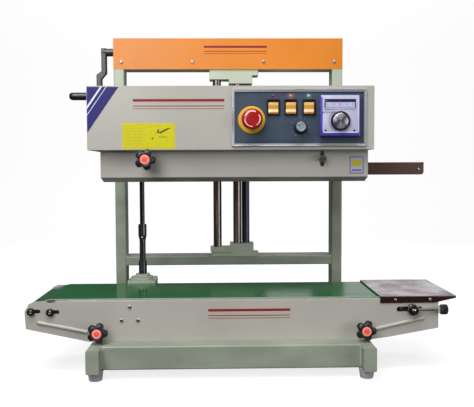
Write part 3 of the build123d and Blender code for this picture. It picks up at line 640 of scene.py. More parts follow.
class BAND_SEALER_OT_crank_grip(bpy.types.Operator):
    """Models the bullet-shaped crank grip with its ferrule"""

    bl_idname = "band_sealer.crank_grip"
    bl_label = "Crank grip"

    def execute(self, context):
        low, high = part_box("crank_grip")
        radius = (high.z - low.z) / 2
        length = high.x - low.x
        profile = [
            (0.0, 0.0), (radius * 0.70, 0.0), (radius * 0.84, 1.0 * MM), (radius * 0.86, 6 * MM),
            (radius * 0.94, 14 * MM), (radius, 26 * MM), (radius, length - 12 * MM),
            (radius * 0.96, length - 7 * MM), (radius * 0.80, length - 3 * MM),
            (radius * 0.52, length - 0.8 * MM), (0.0, length)]
        material = moulded("grip_plastic", colours().black, roughness=0.22, grain=600.0)
        spun_piece(
            "crank_grip_handle", "crank_grip", material, profile,
            place(TO_LEFT, high.x, middle("crank_grip").y, middle("crank_grip").z), slot="knob_black",
            replaces=["crank_grip"])
        return {"FINISHED"}


class BAND_SEALER_OT_tension_knob(bpy.types.Operator):
    """Models the belt tension screw with its thread and knurled knob"""

    bl_idname = "band_sealer.tension_knob"
    bl_label = "Tension knob"

    def execute(self, context):
        low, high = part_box("tension_knob")
        y, z = middle("tension_knob").y, middle("tension_knob").z
        radius = (high.z - low.z) / 2
        material = moulded("knurled_plastic", colours().black, roughness=0.30)
        lobed_piece(
            "tension_knob_grip", "tension_knob", material,
            [
                (0.0, 0.0), (7.0 * MM, 0.0), (radius - 1.2 * MM, 0.8 * MM), (radius, 2.2 * MM),
                (radius, 12.6 * MM), (radius - 1.2 * MM, 14.6 * MM), (6.0 * MM, 15.6 * MM),
                (5.2 * MM, 14.9 * MM), (0.0, 14.9 * MM)],
            (8.4 * MM, sizes().knurls, 0.6), place(TO_RIGHT, high.x - 15.6 * MM, y, z), 112,
            slot="shaft_steel", replaces=["tension_knob"], crease=50)
        rod = bmesh.new()
        pitch, turns, root, crest = 1.0 * MM, 58, 2.15 * MM, 2.5 * MM
        wound_thread(rod, pitch, turns, root, crest, place(TO_RIGHT, low.x, y, z), steps=12)
        steel = brushed("tension_rod_steel", (0.30, 0.27, 0.25), roughness=0.3)
        finished("tension_rod", rod, "tension_knob", steel, crease=30)
        return {"FINISHED"}


def wound_thread(mesh, pitch, turns, root, crest, matrix, steps=24):
    """A screw thread about local Z: one profile swept along a helix, turn on turn."""
    before = set(mesh.verts)
    outline = [(root, 0.0), (root, 0.28), (crest, 0.42), (crest, 0.78), (root, 0.92), (root, 1.0)]
    points = [mesh.verts.new((radius, 0.0, share * pitch)) for radius, share in outline]
    lines = [mesh.edges.new(pair) for pair in zip(points, points[1:])]
    bmesh.ops.spin(
        mesh, geom=points + lines, cent=(0, 0, 0), axis=(0, 0, 1), dvec=(0, 0, pitch / steps),
        angle=2 * math.pi * turns, steps=steps * turns)
    bmesh.ops.remove_doubles(mesh, verts=added(mesh, before), dist=1e-6)
    open_edges = [edge for edge in mesh.edges if edge.is_boundary]
    bmesh.ops.holes_fill(mesh, edges=open_edges, sides=0)
    bmesh.ops.transform(mesh, matrix=matrix, verts=added(mesh, before))


class BAND_SEALER_OT_lead_screw(bpy.types.Operator):
    """Models the lead screw's thread, journals and bevel wheel"""

    bl_idname = "band_sealer.lead_screw"
    bl_label = "Lead screw"

    def execute(self, context):
        low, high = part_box("lead_screw")
        x, y = middle("lead_screw").x, middle("lead_screw").y
        pitch = sizes().thread_pitch
        bottom = low.z + 24 * MM
        turns = 77
        crest = 9.95 * MM
        screw = bmesh.new()
        wound_thread(screw, pitch, turns, 8.9 * MM, crest, place(UPWARD, x, y, bottom), steps=20)
        top = bottom + pitch * turns
        turned(
            screw,
            [
                (0.0, low.z), (6 * MM, low.z), (6 * MM, bottom), (8.5 * MM, bottom),
                (8.5 * MM, bottom + pitch), (0.0, bottom + pitch)],
            place(UPWARD, x, y, 0.0), steps=32)
        wheel = high.z - 6 * MM
        turned(
            screw,
            [
                (0.0, top - pitch), (8.5 * MM, top - pitch), (8.5 * MM, top), (6 * MM, top),
                (6 * MM, wheel - 9 * MM), (10 * MM, wheel - 9 * MM), (10 * MM, wheel), (14.8 * MM, wheel),
                (8.8 * MM, high.z), (0.0, high.z)],
            place(UPWARD, x, y, 0.0), steps=48)
        material = column_finish("lead_screw_steel", colours().screw)
        finished(
            "lead_screw_thread", screw, "lead_screw", material, "shaft_steel", ["lead_screw"], crease=25)
        return {"FINISHED"}


# ------------------------------------------------------------------ control panel
class BAND_SEALER_OT_bezel(bpy.types.Operator):
    """Models the panel's bezel: a raised bead, a flat and a slope down to the panel plate"""

    bl_idname = "band_sealer.bezel"
    bl_label = "Panel bezel"

    def execute(self, context):
        low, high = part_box("control_panel")
        bezel = bmesh.new()
        front = low.y
        slab(
            bezel, (low.x - 0.2 * MM, front, low.z - 0.2 * MM),
            (high.x + 0.2 * MM, high.y, high.z + 0.2 * MM))
        face = min(bezel.faces, key=lambda item: item.calc_center_median().y)
        back = max(bezel.faces, key=lambda item: item.calc_center_median().y)
        for width, depth in ((0.9, 0.9), (0.7, 0.0), (0.7, -0.6), (1.2, 0.0), (1.5, -2.1)):
            bmesh.ops.inset_individual(bezel, faces=[face], thickness=width * MM, depth=depth * MM)
        rims = list(face.edges) + list(back.edges)
        bmesh.ops.delete(bezel, geom=[face, back], context="FACES_ONLY")
        bmesh.ops.bridge_loops(bezel, edges=rims)
        metal = brushed(
            "bezel_aluminium", (0.58, 0.60, 0.66), roughness=0.30, grain=(0.5, 1.0, 30.0), metallic=0.8)
        finished("panel_bezel", bezel, "head", metal, "panel_aluminium", crease=20)
        lines = bmesh.new()
        for left, right, level in ((8, 66, 457.5), (70, 108, 457.5), (12, 100, 455.0)):
            sheet_metal(
                lines, bar(left * MM, right * MM, level * MM, (level + 0.9) * MM), PANEL_FACE - 0.1 * MM,
                PANEL_FACE + 0.05 * MM)
        finished("panel_rules", lines, "head", printed("panel_rule_ink", (0.022, 0.028, 0.085)))
        return {"FINISHED"}


class BAND_SEALER_OT_stop_button(bpy.types.Operator):
    """Models the mushroom stop button on its yellow plate"""

    bl_idname = "band_sealer.stop_button"
    bl_label = "Stop button"

    def execute(self, context):
        paint = colours()
        low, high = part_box("stop_button")
        x, z = middle("stop_button").x, middle("stop_button").z
        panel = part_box("stop_collar")[1].y
        yellow = moulded("stop_plate_plastic", paint.collar, roughness=0.34)
        spun_piece(
            "stop_plate", "head", yellow,
            mm(
                (8.5, 0.0), (26, 0.0), (26, 1.4), (24.6, 2.8), (20.5, 3.2), (20.0, 2.6), (13.2, 2.6),
                (13.0, 12), (8.5, 12), (8.5, 0.0)),
            place(TO_OPERATOR, x, panel, z), 64, slot="stop_yellow", replaces=["stop_collar"])
        depth = high.y - low.y
        red = moulded(
            "stop_cap_plastic", paint.stop, roughness=0.22, grain=500.0, depth=0.00001, Coat_Weight=0.4)
        spun_piece(
            "stop_cap", "stop_button", red,
            [
                (0.0, 0.0), (8 * MM, 0.0), (8 * MM, depth - 17 * MM), (15.5 * MM, depth - 16 * MM),
                (19.0 * MM, depth - 13.5 * MM), (20 * MM, depth - 10 * MM), (19.7 * MM, depth - 6.0 * MM),
                (18.2 * MM, depth - 2.8 * MM), (15.0 * MM, depth - 0.8 * MM), (12.0 * MM, depth - 0.2 * MM),
                (9.0 * MM, depth), (0.0, depth)],
            place(TO_OPERATOR, x, high.y, z), 64, slot="stop_red", replaces=["stop_button"], crease=50)
        white = printed("stop_mark_ink", (0.85, 0.62, 0.60))
        outline = mm((13.4, -0.8), (15.0, -1.2), (15.0, -0.55), (13.4, -0.2))
        for index in range(3):
            mark = bmesh.new()
            arc(mark, outline, -56 + 120 * index, 90, place(TO_OPERATOR, x, low.y + 0.15 * MM, z))
            finished(f"stop_turn_mark_{index + 1}", mark, "stop_button", white)
        return {"FINISHED"}


def amber_glow_with_painted_light():
    """Amber plastic lit from behind, with painted highlights in two bright bands and painted shade at the
    top and bottom ends, all fed to the glow as well.
    """
    finish = Finish("amber_glow_plastic_with_painted_light", 0.22, Transmission_Weight=0.15, Coat_Weight=0.3)
    centre = middle("middle_rocker").z
    z = finish.axes()[2]
    height = finish.spread(z, centre - 12 * MM, centre + 11 * MM)
    ramp = finish.add("ShaderNodeValToRGB", {"Fac": height})
    # Painted highlights are the bright stops at 0.27 to 0.38 and at 0.84. Painted shade is the dark stops
    # at both ends.
    glow_and_painted_light_stops = (
        (0.0, (0.26, 0.09, 0.03)), (0.16, (0.50, 0.20, 0.07)), (0.27, (1.0, 0.76, 0.48)),
        (0.38, (0.98, 0.66, 0.30)), (0.46, (0.62, 0.29, 0.04)), (0.70, (0.66, 0.36, 0.06)),
        (0.84, (0.95, 0.70, 0.32)), (1.0, (0.50, 0.26, 0.06)))
    elements = ramp.color_ramp.elements
    elements[0].position, elements[0].color = glow_and_painted_light_stops[0][0], opaque(glow_and_painted_light_stops[0][1])
    elements[1].position, elements[1].color = glow_and_painted_light_stops[-1][0], opaque(glow_and_painted_light_stops[-1][1])
    for position, colour in glow_and_painted_light_stops[1:-1]:
        elements.new(position).color = opaque(colour)
    glow_with_painted_light = ramp.outputs["Color"]
    finish.feed("Base Color", glow_with_painted_light)
    finish.feed("Emission Color", glow_with_painted_light)
    finish.shader.inputs["Emission Strength"].default_value = 0.25
    finish.bump(finish.noise(900.0), 0.00002)
    return finish.material


class BAND_SEALER_OT_rockers(bpy.types.Operator):
    """Models the three lit rocker switches with their ribs and the pilot marks above"""

    bl_idname = "band_sealer.rockers"
    bl_label = "Rocker switches"

    def execute(self, context):
        amber = amber_glow_with_painted_light()
        pivot_y, tilt = -183 * MM, math.radians(10)
        half_width, pilot_height = 9.2 * MM, 543.5 * MM
        pilots = {
            "left": ((0.11, 0.035, 0.12), (0.10, 0.004, 0.05)),
            "middle": ((0.26, 0.09, 0.08), (0.45, 0.24, 0.18)),
            "right": ((0.045, 0.17, 0.14), (0.26, 0.48, 0.40)),
        }
        for side, (ink, jewel) in pilots.items():
            node = f"{side}_rocker"
            x = middle(node).x
            z = middle("switch_frames").z
            rocker = bmesh.new()
            section = [
                (-9.4, 11.0), (-8.4, 7.0), (-7.6, 2.5), (-7.4, 0.0), (-7.6, -2.5), (-8.4, -7.0),
                (-9.4, -11.0), (4.8, -8.0), (4.8, 8.0)]
            corners = [rocker.verts.new((-half_width, y * MM, height * MM)) for y, height in section]
            thicken(rocker, rocker.faces.new(corners), (2 * half_width, 0.0, 0.0))
            soften(rocker, rocker.edges[:], 0.5 * MM)
            for height in (-8.6, -7.2, 7.2, 8.6):
                depth = -9.3 if abs(height) > 8 else -9.0
                slab(
                    rocker, (-7 * MM, depth * MM, (height - 0.3) * MM),
                    (7 * MM, (depth + 1) * MM, (height + 0.3) * MM), 0.15 * MM, 1)
            matrix = place(Matrix.Rotation(tilt, 4, "X"), x, pivot_y, z)
            bmesh.ops.transform(rocker, matrix=matrix, verts=rocker.verts)
            finished(f"{side}_rocker_cap", rocker, node, amber, "rocker_amber", [node], crease=40)
            spun_piece(
                f"{side}_pilot_ring", "head", printed(f"{side}_pilot_ink", ink),
                mm((4.6, -0.2), (6.4, -0.2), (6.4, 0.15), (6.0, 0.3), (4.9, 0.3), (4.6, 0.15), (4.6, -0.2)),
                place(TO_OPERATOR, x, PANEL_FACE, pilot_height), 40)
            glass = moulded(
                f"{side}_pilot_jewel", jewel, roughness=0.12, grain=300.0, depth=0.00001, Coat_Weight=0.5)
            spun_piece(
                f"{side}_pilot_lens", "head", glass,
                mm((0.0, -0.2), (2.9, -0.2), (2.9, 0.4), (2.3, 0.9), (0.0, 1.2)),
                place(TO_OPERATOR, x, PANEL_FACE, pilot_height), 32)
        return {"FINISHED"}


class BAND_SEALER_OT_speed_knob(bpy.types.Operator):
    """Models the speed knob with its skirt, pointer and printed scale"""

    bl_idname = "band_sealer.speed_knob"
    bl_label = "Speed knob"

    def execute(self, context):
        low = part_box("speed_knob")[0]
        x, z = middle("speed_knob").x, middle("speed_knob").z
        depth = PANEL_FACE - low.y
        seat = place(TO_OPERATOR, x, PANEL_FACE, z)
        black = moulded("speed_skirt_plastic", scaled(colours().black, 2.0), roughness=0.32)
        lobed_piece(
            "speed_knob_skirt", "speed_knob", black,
            [
                (0.0, 0.3 * MM), (13.6 * MM, 0.3 * MM), (14 * MM, 1.0 * MM), (13.2 * MM, 3.0 * MM),
                (10.4 * MM, 4.6 * MM), (9.9 * MM, depth - 2.5 * MM), (9.0 * MM, depth - 1.4 * MM),
                (0.0, depth - 1.4 * MM)],
            (9.0 * MM, 24, 0.35), seat, 96, slot="knob_black", replaces=["speed_knob"], crease=40)
        satin = brushed(
            "speed_cap_metal", (0.30, 0.37, 0.42), roughness=0.38, grain=(1.0, 1.0, 1.0), metallic=0.5)
        spun_piece(
            "speed_knob_cap", "speed_knob", satin,
            [
                (0.0, depth - 2.2 * MM), (9.2 * MM, depth - 2.2 * MM), (9.3 * MM, depth - 0.8 * MM),
                (8.4 * MM, depth), (7.4 * MM, depth), (7.0 * MM, depth - 0.3 * MM),
                (0.0, depth - 0.3 * MM)],
            seat, 48)
        # Painted shade: the pointer notch is a thin dark strip laid on the cap.
        pointer = bmesh.new()
        slab(
            pointer, (-0.7 * MM, 2.5 * MM, depth - 0.35 * MM), (0.7 * MM, 8.8 * MM, depth - 0.1 * MM),
            0.1 * MM, 1)
        matrix = seat @ Matrix.Rotation(math.radians(65), 4, "Z")
        bmesh.ops.transform(pointer, matrix=matrix, verts=pointer.verts)
        finished("speed_knob_pointer", pointer, "speed_knob", printed("pointer_notch_shade", (0.02, 0.02, 0.025)))
        scale = bmesh.new()
        for step in range(11):
            before = set(scale.verts)
            long = 3.0 if step % 5 == 0 else 1.8
            slab(scale, (-0.3 * MM, 16.5 * MM, 0.0), (0.3 * MM, (16.5 + long) * MM, 0.12 * MM))
            turn = Matrix.Rotation(math.radians(150 - 30 * step), 4, "Z")
            bmesh.ops.transform(scale, matrix=seat @ turn, verts=added(scale, before))
        finished("speed_scale", scale, "head", printed("panel_scale_ink", (0.30, 0.34, 0.42)))
        return {"FINISHED"}


def dial_metal():
    """Spun metal: a painted hourglass highlight, bright and dark sectors that meet at the centre, under
    fine turned rings.
    """
    finish = Finish("dial_metal", 0.25, 0.9)
    centre = middle("temperature_dial")
    moved = finish.add("ShaderNodeMapping", {"Vector": finish.place, "Location": tuple(-centre)})
    x, _, z = finish.add("ShaderNodeSeparateXYZ", {"Vector": moved.outputs["Vector"]}).outputs
    # Painted highlight: the colour swings between dark and bright twice round the centre, standing for the
    # spun face's hourglass sheen.
    angle = finish.maths("ARCTAN2", x, z)
    painted_highlight_sectors = finish.maths("COSINE", finish.maths("MULTIPLY", angle, 2.0))
    ripple = finish.add(
        "ShaderNodeVectorMath", {0: moved.outputs["Vector"]}, operation="LENGTH").outputs["Value"]
    rings = finish.maths("SINE", finish.maths("MULTIPLY", ripple, 9000.0))
    finish.feed(
        "Base Color",
        finish.blend(finish.spread(painted_highlight_sectors, -0.1, 0.95), (0.20, 0.18, 0.24), (0.92, 0.92, 0.97)))
    finish.bump(rings, 0.00002)
    return finish.material


def temperature_dial(ink):
    """The dial: a fluted rim, a spun face and its mark."""
    low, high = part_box("temperature_dial")
    reach = high.y - low.y
    centre = middle("temperature_dial")
    seat = place(TO_OPERATOR, centre.x, high.y, centre.z)
    base = reach - 6.2 * MM
    rim = moulded("dial_rim_plastic", (0.016, 0.015, 0.022), roughness=0.28)
    lobed_piece(
        "temperature_dial_rim", "temperature_dial", rim,
        [
            (0.0, 0.0), (3 * MM, 0.0), (3 * MM, base), (18.9 * MM, base), (19.0 * MM, base + 1.5 * MM),
            (18.5 * MM, reach - 1.6 * MM), (17.4 * MM, reach - 0.6 * MM), (15.2 * MM, reach - 0.6 * MM),
            (14.6 * MM, reach - 1.4 * MM), (0.0, reach - 1.4 * MM)],
        (17.0 * MM, 40, 0.25), seat, 120, slot="dial_black", replaces=["temperature_dial"], crease=40)
    spun_piece(
        "temperature_dial_face", "temperature_dial", dial_metal(),
        [
            (0.0, reach - 1.5 * MM), (14.5 * MM, reach - 1.5 * MM), (14.5 * MM, reach - 1.0 * MM),
            (13.9 * MM, reach - 0.6 * MM), (0.0, reach - 0.5 * MM)],
        seat, 64)
    mark = bmesh.new()
    slab(
        mark, (-0.5 * MM, 9.5 * MM, reach - 0.6 * MM), (0.5 * MM, 13.6 * MM, reach - 0.35 * MM), 0.08 * MM,
        1)
    bmesh.ops.transform(mark, matrix=seat, verts=mark.verts)
    finished("temperature_dial_mark", mark, "temperature_dial", ink)


class BAND_SEALER_OT_controller(bpy.types.Operator):
    """Models the temperature controller: body, face, window with its scale, and dial"""

    bl_idname = "band_sealer.controller"
    bl_label = "Temperature controller"

    def execute(self, context):
        paint = colours()
        low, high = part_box("temperature_controller")
        blue = moulded("controller_plastic", paint.controller, roughness=0.30)
        box_piece(
            "controller_body", "head", blue, low, high, 2.0 * MM, 3, slot="controller_blue",
            replaces=["temperature_controller"])
        front = low.y - 0.5 * MM
        left, right = low.x + 4.6 * MM, high.x - 2.6 * MM
        bottom, top = low.z + 6.0 * MM, high.z - 0.6 * MM
        face = bmesh.new()
        points = [
            (left, bottom), (right, bottom), (right, top), (low.x + 1.4 * MM, top),
            (low.x + 1.4 * MM, top - 3.2 * MM), (left - 0.4 * MM, top - 5.2 * MM),
            (left - 0.4 * MM, top - 30 * MM), (left + 1.8 * MM, top - 33 * MM), (left, top - 36 * MM)]
        sheet_metal(face, points, front, low.y + 0.5 * MM, 0.35 * MM)
        lilac = moulded("controller_face_plastic", paint.face, roughness=0.34)
        finished("controller_face", face, "head", lilac, crease=30)
        window_left, window_right = low.x + 8 * MM, high.x - 8.4 * MM
        window_low, window_high = top - 24.5 * MM, top - 7.2 * MM
        box_piece(
            "controller_window_well", "head",
            moulded("window_well_plastic", (0.020, 0.018, 0.045), roughness=0.2),
            (window_left, front - 0.15 * MM, window_low), (window_right, front + 0.5 * MM, window_high),
            0.2 * MM)
        box_piece(
            "controller_scale_strip", "head", printed("scale_strip_ink", (0.42, 0.46, 0.66)),
            (window_left + 2 * MM, front - 0.30 * MM, window_low + 1.2 * MM),
            (window_right - 2 * MM, front - 0.1 * MM, window_high - 6.2 * MM), 0.08 * MM, 1)
        shelf = bmesh.new()
        slab(
            shelf, (window_left - 1.0 * MM, front - 1.1 * MM, window_low - 1.6 * MM),
            (window_right + 1.0 * MM, front + 0.4 * MM, window_low + 0.6 * MM), 0.4 * MM)
        slab(
            shelf, (window_left - 1.6 * MM, front - 0.8 * MM, window_high - 0.4 * MM),
            (window_right + 1.6 * MM, front + 0.4 * MM, window_high + 1.2 * MM), 0.4 * MM)
        for edge in (window_left - 1.2 * MM, window_right + 1.2 * MM):
            slab(
                shelf, (edge - 0.7 * MM, front - 0.8 * MM, window_low),
                (edge + 0.7 * MM, front + 0.4 * MM, window_high), 0.3 * MM)
        finished("controller_window_frame", shelf, "head", lilac)
        pale = printed("controller_edge_ink", (0.62, 0.60, 0.80))
        edges = bmesh.new()
        borders = [
            bar(left, left + 1.3 * MM, bottom, top - 36 * MM), bar(left, right, bottom, bottom + 2.2 * MM),
            bar(right - 1.3 * MM, right, bottom, top), bar(left, left + 1.3 * MM, top - 30 * MM, top)]
        for points in borders:
            sheet_metal(edges, points, front - 0.12 * MM, front + 0.05 * MM)
        finished("controller_edges", edges, "head", pale)
        ink = printed("scale_tick_ink_and_groove_shade", (0.06, 0.06, 0.16))
        centre = middle("temperature_dial")
        # Painted shade: the groove round the dial and the line from the face's notch are thin dark strips
        # of the tick ink.
        groove = bmesh.new()
        outline = mm((21.0, 0.0), (21.7, 0.0), (21.7, 0.12), (21.0, 0.12))
        arc(groove, outline, 118, 128, place(TO_OPERATOR, centre.x, front, centre.z), steps=32)
        corner = (
            centre.x - 21.4 * MM * math.cos(math.radians(62)),
            centre.z + 21.4 * MM * math.sin(math.radians(62)))
        notch = (left + 1.2 * MM, top - 32.4 * MM)
        sheet_metal(
            groove,
            [
                notch, (corner[0] - 0.3 * MM, corner[1] - 3.2 * MM), (corner[0], corner[1] - 2.4 * MM),
                (notch[0], notch[1] + 0.8 * MM)],
            front - 0.12 * MM, front + 0.05 * MM)
        finished("controller_groove", groove, "head", ink)
        ticks = bmesh.new()
        scale_low = window_low + 2.2 * MM
        span = window_right - window_left - 10 * MM
        for step in range(21):
            x = window_left + 5 * MM + span * step / 20
            height = 3.2 * MM if step % 5 == 0 else 1.8 * MM
            slab(
                ticks, (x - 0.16 * MM, front - 0.36 * MM, scale_low),
                (x + 0.16 * MM, front - 0.28 * MM, scale_low + height))
        finished("controller_scale_ticks", ticks, "head", ink)
        for index in range(5):
            x = window_left + 5 * MM + span * index / 4
            matrix = place(TO_OPERATOR, x, front - 0.32 * MM, scale_low + 5.4 * MM)
            text_piece(f"scale_figure_{index}", str(index * 100), 3.1 * MM, matrix, "head", ink)
        x = window_left + span * 0.55
        box_piece(
            "controller_needle", "head", printed("needle_ink", (0.60, 0.03, 0.02)),
            (x - 0.3 * MM, front - 0.6 * MM, window_low + 1.4 * MM),
            (x + 0.3 * MM, front - 0.45 * MM, window_high - 2 * MM), 0.05 * MM, 1)
        dots = bmesh.new()
        for x in (low.x + 10.2 * MM, high.x - 11.4 * MM):
            turned(
                dots, mm((0.0, 0.0), (2.0, 0.0), (1.9, 0.4), (1.0, 0.5), (0.0, 0.2)),
                place(TO_OPERATOR, x, front, low.z + 10.3 * MM), steps=24)
        finished("controller_screws", dots, "head", moulded("controller_screw_black", colours().black))
        temperature_dial(ink)
        return {"FINISHED"}


# ------------------------------------------------------------------ fixings, welds and rear fittings
def recess(mesh, matrix, span, width):
    """A cross recess: two thin bars with dark faces, laid on a screw head."""
    for turn in (25, 115):
        before = set(mesh.verts)
        slab(mesh, (-span, -width, -0.2 * MM), (span, width, 0.12 * MM), 0.08 * MM, 1)
        spun = matrix @ Matrix.Rotation(math.radians(turn), 4, "Z")
        bmesh.ops.transform(mesh, matrix=spun, verts=added(mesh, before))


def screw_recesses():
    """Cross recesses in the screws of the cover, the drive bearing and the tray."""
    cover_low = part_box("lift_cover")[0]
    slots = bmesh.new()
    for step in range(4):
        x = cover_low.x + (19 + 170 * step) * MM
        recess(slots, place(TO_OPERATOR, x, cover_low.y - 2.25 * MM, 660.5 * MM), 2.3 * MM, 0.45 * MM)
    drive = middle("drive_roller")
    for dx, dz in ((0.0, 17.5), (-16.0, -9.0), (16.0, -9.0)):
        seat = place(TO_OPERATOR, drive.x + dx * MM, -160.25 * MM, drive.z + dz * MM)
        recess(slots, seat, 2.2 * MM, 0.45 * MM)
    tray_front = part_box("feed_tray")[0].y
    for x, z in ((304.9, 144.6), (374.1, 144.8)):
        recess(slots, place(TO_OPERATOR, x * MM, tray_front - 2.25 * MM, z * MM), 1.7 * MM, 0.35 * MM)
    finished("screw_recesses", slots, "frame", moulded("recess_shadow", (0.02, 0.02, 0.02), roughness=0.6))


def guide_bolt():
    """The bolt through the guide strips near their free end."""
    guide_low, guide_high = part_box("infeed_guides")
    spun_piece(
        "guide_bolt", "head", brushed("guide_bolt_steel", (0.40, 0.36, 0.34)),
        mm((0.0, 0.0), (3.6, 0.0), (3.6, 1.6), (2.6, 2.6), (0.0, 2.8)),
        place(TO_OPERATOR, guide_high.x - 10 * MM, guide_low.y, 402 * MM), 32)


def sleeve_grub_screw():
    """The screw that holds the drive sleeve on the rod."""
    sleeve = middle("drive_sleeve")
    spun_piece(
        "sleeve_grub_screw", "drive_sleeve", brushed("grub_screw_steel", (0.55, 0.55, 0.56)),
        mm((0.0, 0.0), (1.9, 0.0), (1.9, 0.9), (1.2, 1.4), (0.0, 1.5)),
        place(TO_OPERATOR, sleeve.x, sleeve.y - 7.9 * MM, 249.5 * MM), 24)


def axle_bolts(black_oxide, socket_steel):
    """The washers and socket screws of the two fixed axles."""
    washers, sockets = bmesh.new(), bmesh.new()
    bolts = [(middle(node).x, middle(node).z) for node in ("nose_roller", "support_roller")]
    for x, z in bolts:
        seat = place(TO_OPERATOR, x, PLATE_FACE, z)
        turned(washers, mm((4.2, 0.0), (7.4, 0.0), (7.4, 5.2), (6.6, 6.0), (4.2, 6.0), (4.2, 0.0)), seat)
        turned(
            sockets, mm((0.0, 4.0), (4.2, 4.0), (4.2, 5.9), (3.6, 6.6), (2.2, 6.6), (2.0, 4.6), (0.0, 4.6)),
            seat)
    finished("axle_washers", washers, "frame", black_oxide)
    finished("axle_sockets", sockets, "frame", socket_steel)


def tail_nut(black_oxide, socket_steel):
    """The tail axle's knurled nut and its washer."""
    tail = middle("tail_axle")
    seat = place(TO_OPERATOR, tail.x, -168 * MM, tail.z)
    lobed_piece(
        "tail_nut", "tail_axle", black_oxide,
        mm(
            (0.0, -0.1), (8.8, -0.1), (9.2, 0.6), (9.2, 4.6), (8.2, 5.5), (6.4, 5.5), (5.8, 4.6),
            (0.0, 4.6)),
        (8.3 * MM, 22, 0.5), seat, 88, crease=50)
    ring = bmesh.new()
    turned(ring, mm((9.4, -1.0), (11.3, -1.0), (11.3, 0.2), (10.9, 0.7), (9.4, 0.7), (9.4, -1.0)), seat)
    turned(ring, mm((0.0, 4.4), (3.6, 4.4), (3.6, 5.2), (2.8, 5.8), (0.0, 6.0)), seat)
    finished("tail_washer", ring, "tail_axle", socket_steel)


def gear_case_screws(socket_steel):
    """The four screws of the gear case's top plate."""
    caps = bmesh.new()
    case = middle("belt_drive_housing")
    for dx in (-26, 26):
        for dy in (-26, 26):
            turned(
                caps, mm((0.0, 0.0), (3.0, 0.0), (3.0, 1.8), (2.4, 2.4), (0.0, 2.6)),
                place(UPWARD, case.x + dx * MM, case.y + dy * MM, 154 * MM), steps=24)
    finished("gear_case_screws", caps, "frame", socket_steel)


def welds():
    """Beads where the tubes of the stand meet."""
    beads = bmesh.new()
    half = sizes().weld
    front, rear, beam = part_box("front_cross_tube"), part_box("rear_cross_tube"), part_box("middle_beam")
    corners = [
        (box, x, y) for box in (front, rear) for x in (box[0].x, box[1].x) for y in (box[0].y, box[1].y)]
    for box, x, y in corners:
        weld_bead(beads, (x, y, box[0].z + 3 * MM), (x, y, box[1].z - 3 * MM), half)
    for x in (beam[0].x, beam[1].x):
        weld_bead(beads, (x, beam[0].y + 2 * MM, beam[0].z), (x, 203 * MM, beam[0].z), half)
        weld_bead(beads, (x, beam[0].y + 2 * MM, beam[1].z), (x, 203 * MM, beam[1].z), half)
    for node in ("left_upright", "right_upright"):
        low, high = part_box(node)
        for y in (low.y, high.y):
            weld_bead(beads, (low.x + 2 * MM, y, low.z), (high.x - 2 * MM, y, low.z), half)
    paint = enamel("weld_enamel", scaled(colours().stand, 0.96), roughness=0.4, peel=700.0)
    finished("weld_beads", beads, "frame", paint, "frame_paint", crease=70)


class BAND_SEALER_OT_fixings(bpy.types.Operator):
    """Adds screws and their recesses, washers, nuts and weld beads"""

    bl_idname = "band_sealer.fixings"
    bl_label = "Screws and welds"

    def execute(self, context):
        screw_recesses()
        guide_bolt()
        sleeve_grub_screw()
        black_oxide = brushed("black_oxide_steel", (0.035, 0.030, 0.032), roughness=0.30)
        socket_steel = brushed("socket_steel", (0.48, 0.45, 0.46), roughness=0.24)
        axle_bolts(black_oxide, socket_steel)
        tail_nut(black_oxide, socket_steel)
        gear_case_screws(socket_steel)
        welds()
        return {"FINISHED"}


def weld_bead(mesh, start, end, half):
    """A rippled bead between two points: a tube whose width swells along its run."""
    start, end = Vector(start), Vector(end)
    run = (end - start).length
    ripples = max(4, int(run / (1.5 * half)))
    profile = [(0.0, 0.0)]
    for step in range(2 * ripples + 1):
        swell = 1.0 if step % 2 else 0.78
        profile.append((half * swell, run * (step + 0.5) / (2 * ripples + 2)))
    profile.append((0.0, run))
    aim = (end - start).to_track_quat("Z", "Y").to_matrix().to_4x4()
    turned(mesh, profile, Matrix.Translation(start) @ aim, steps=8)


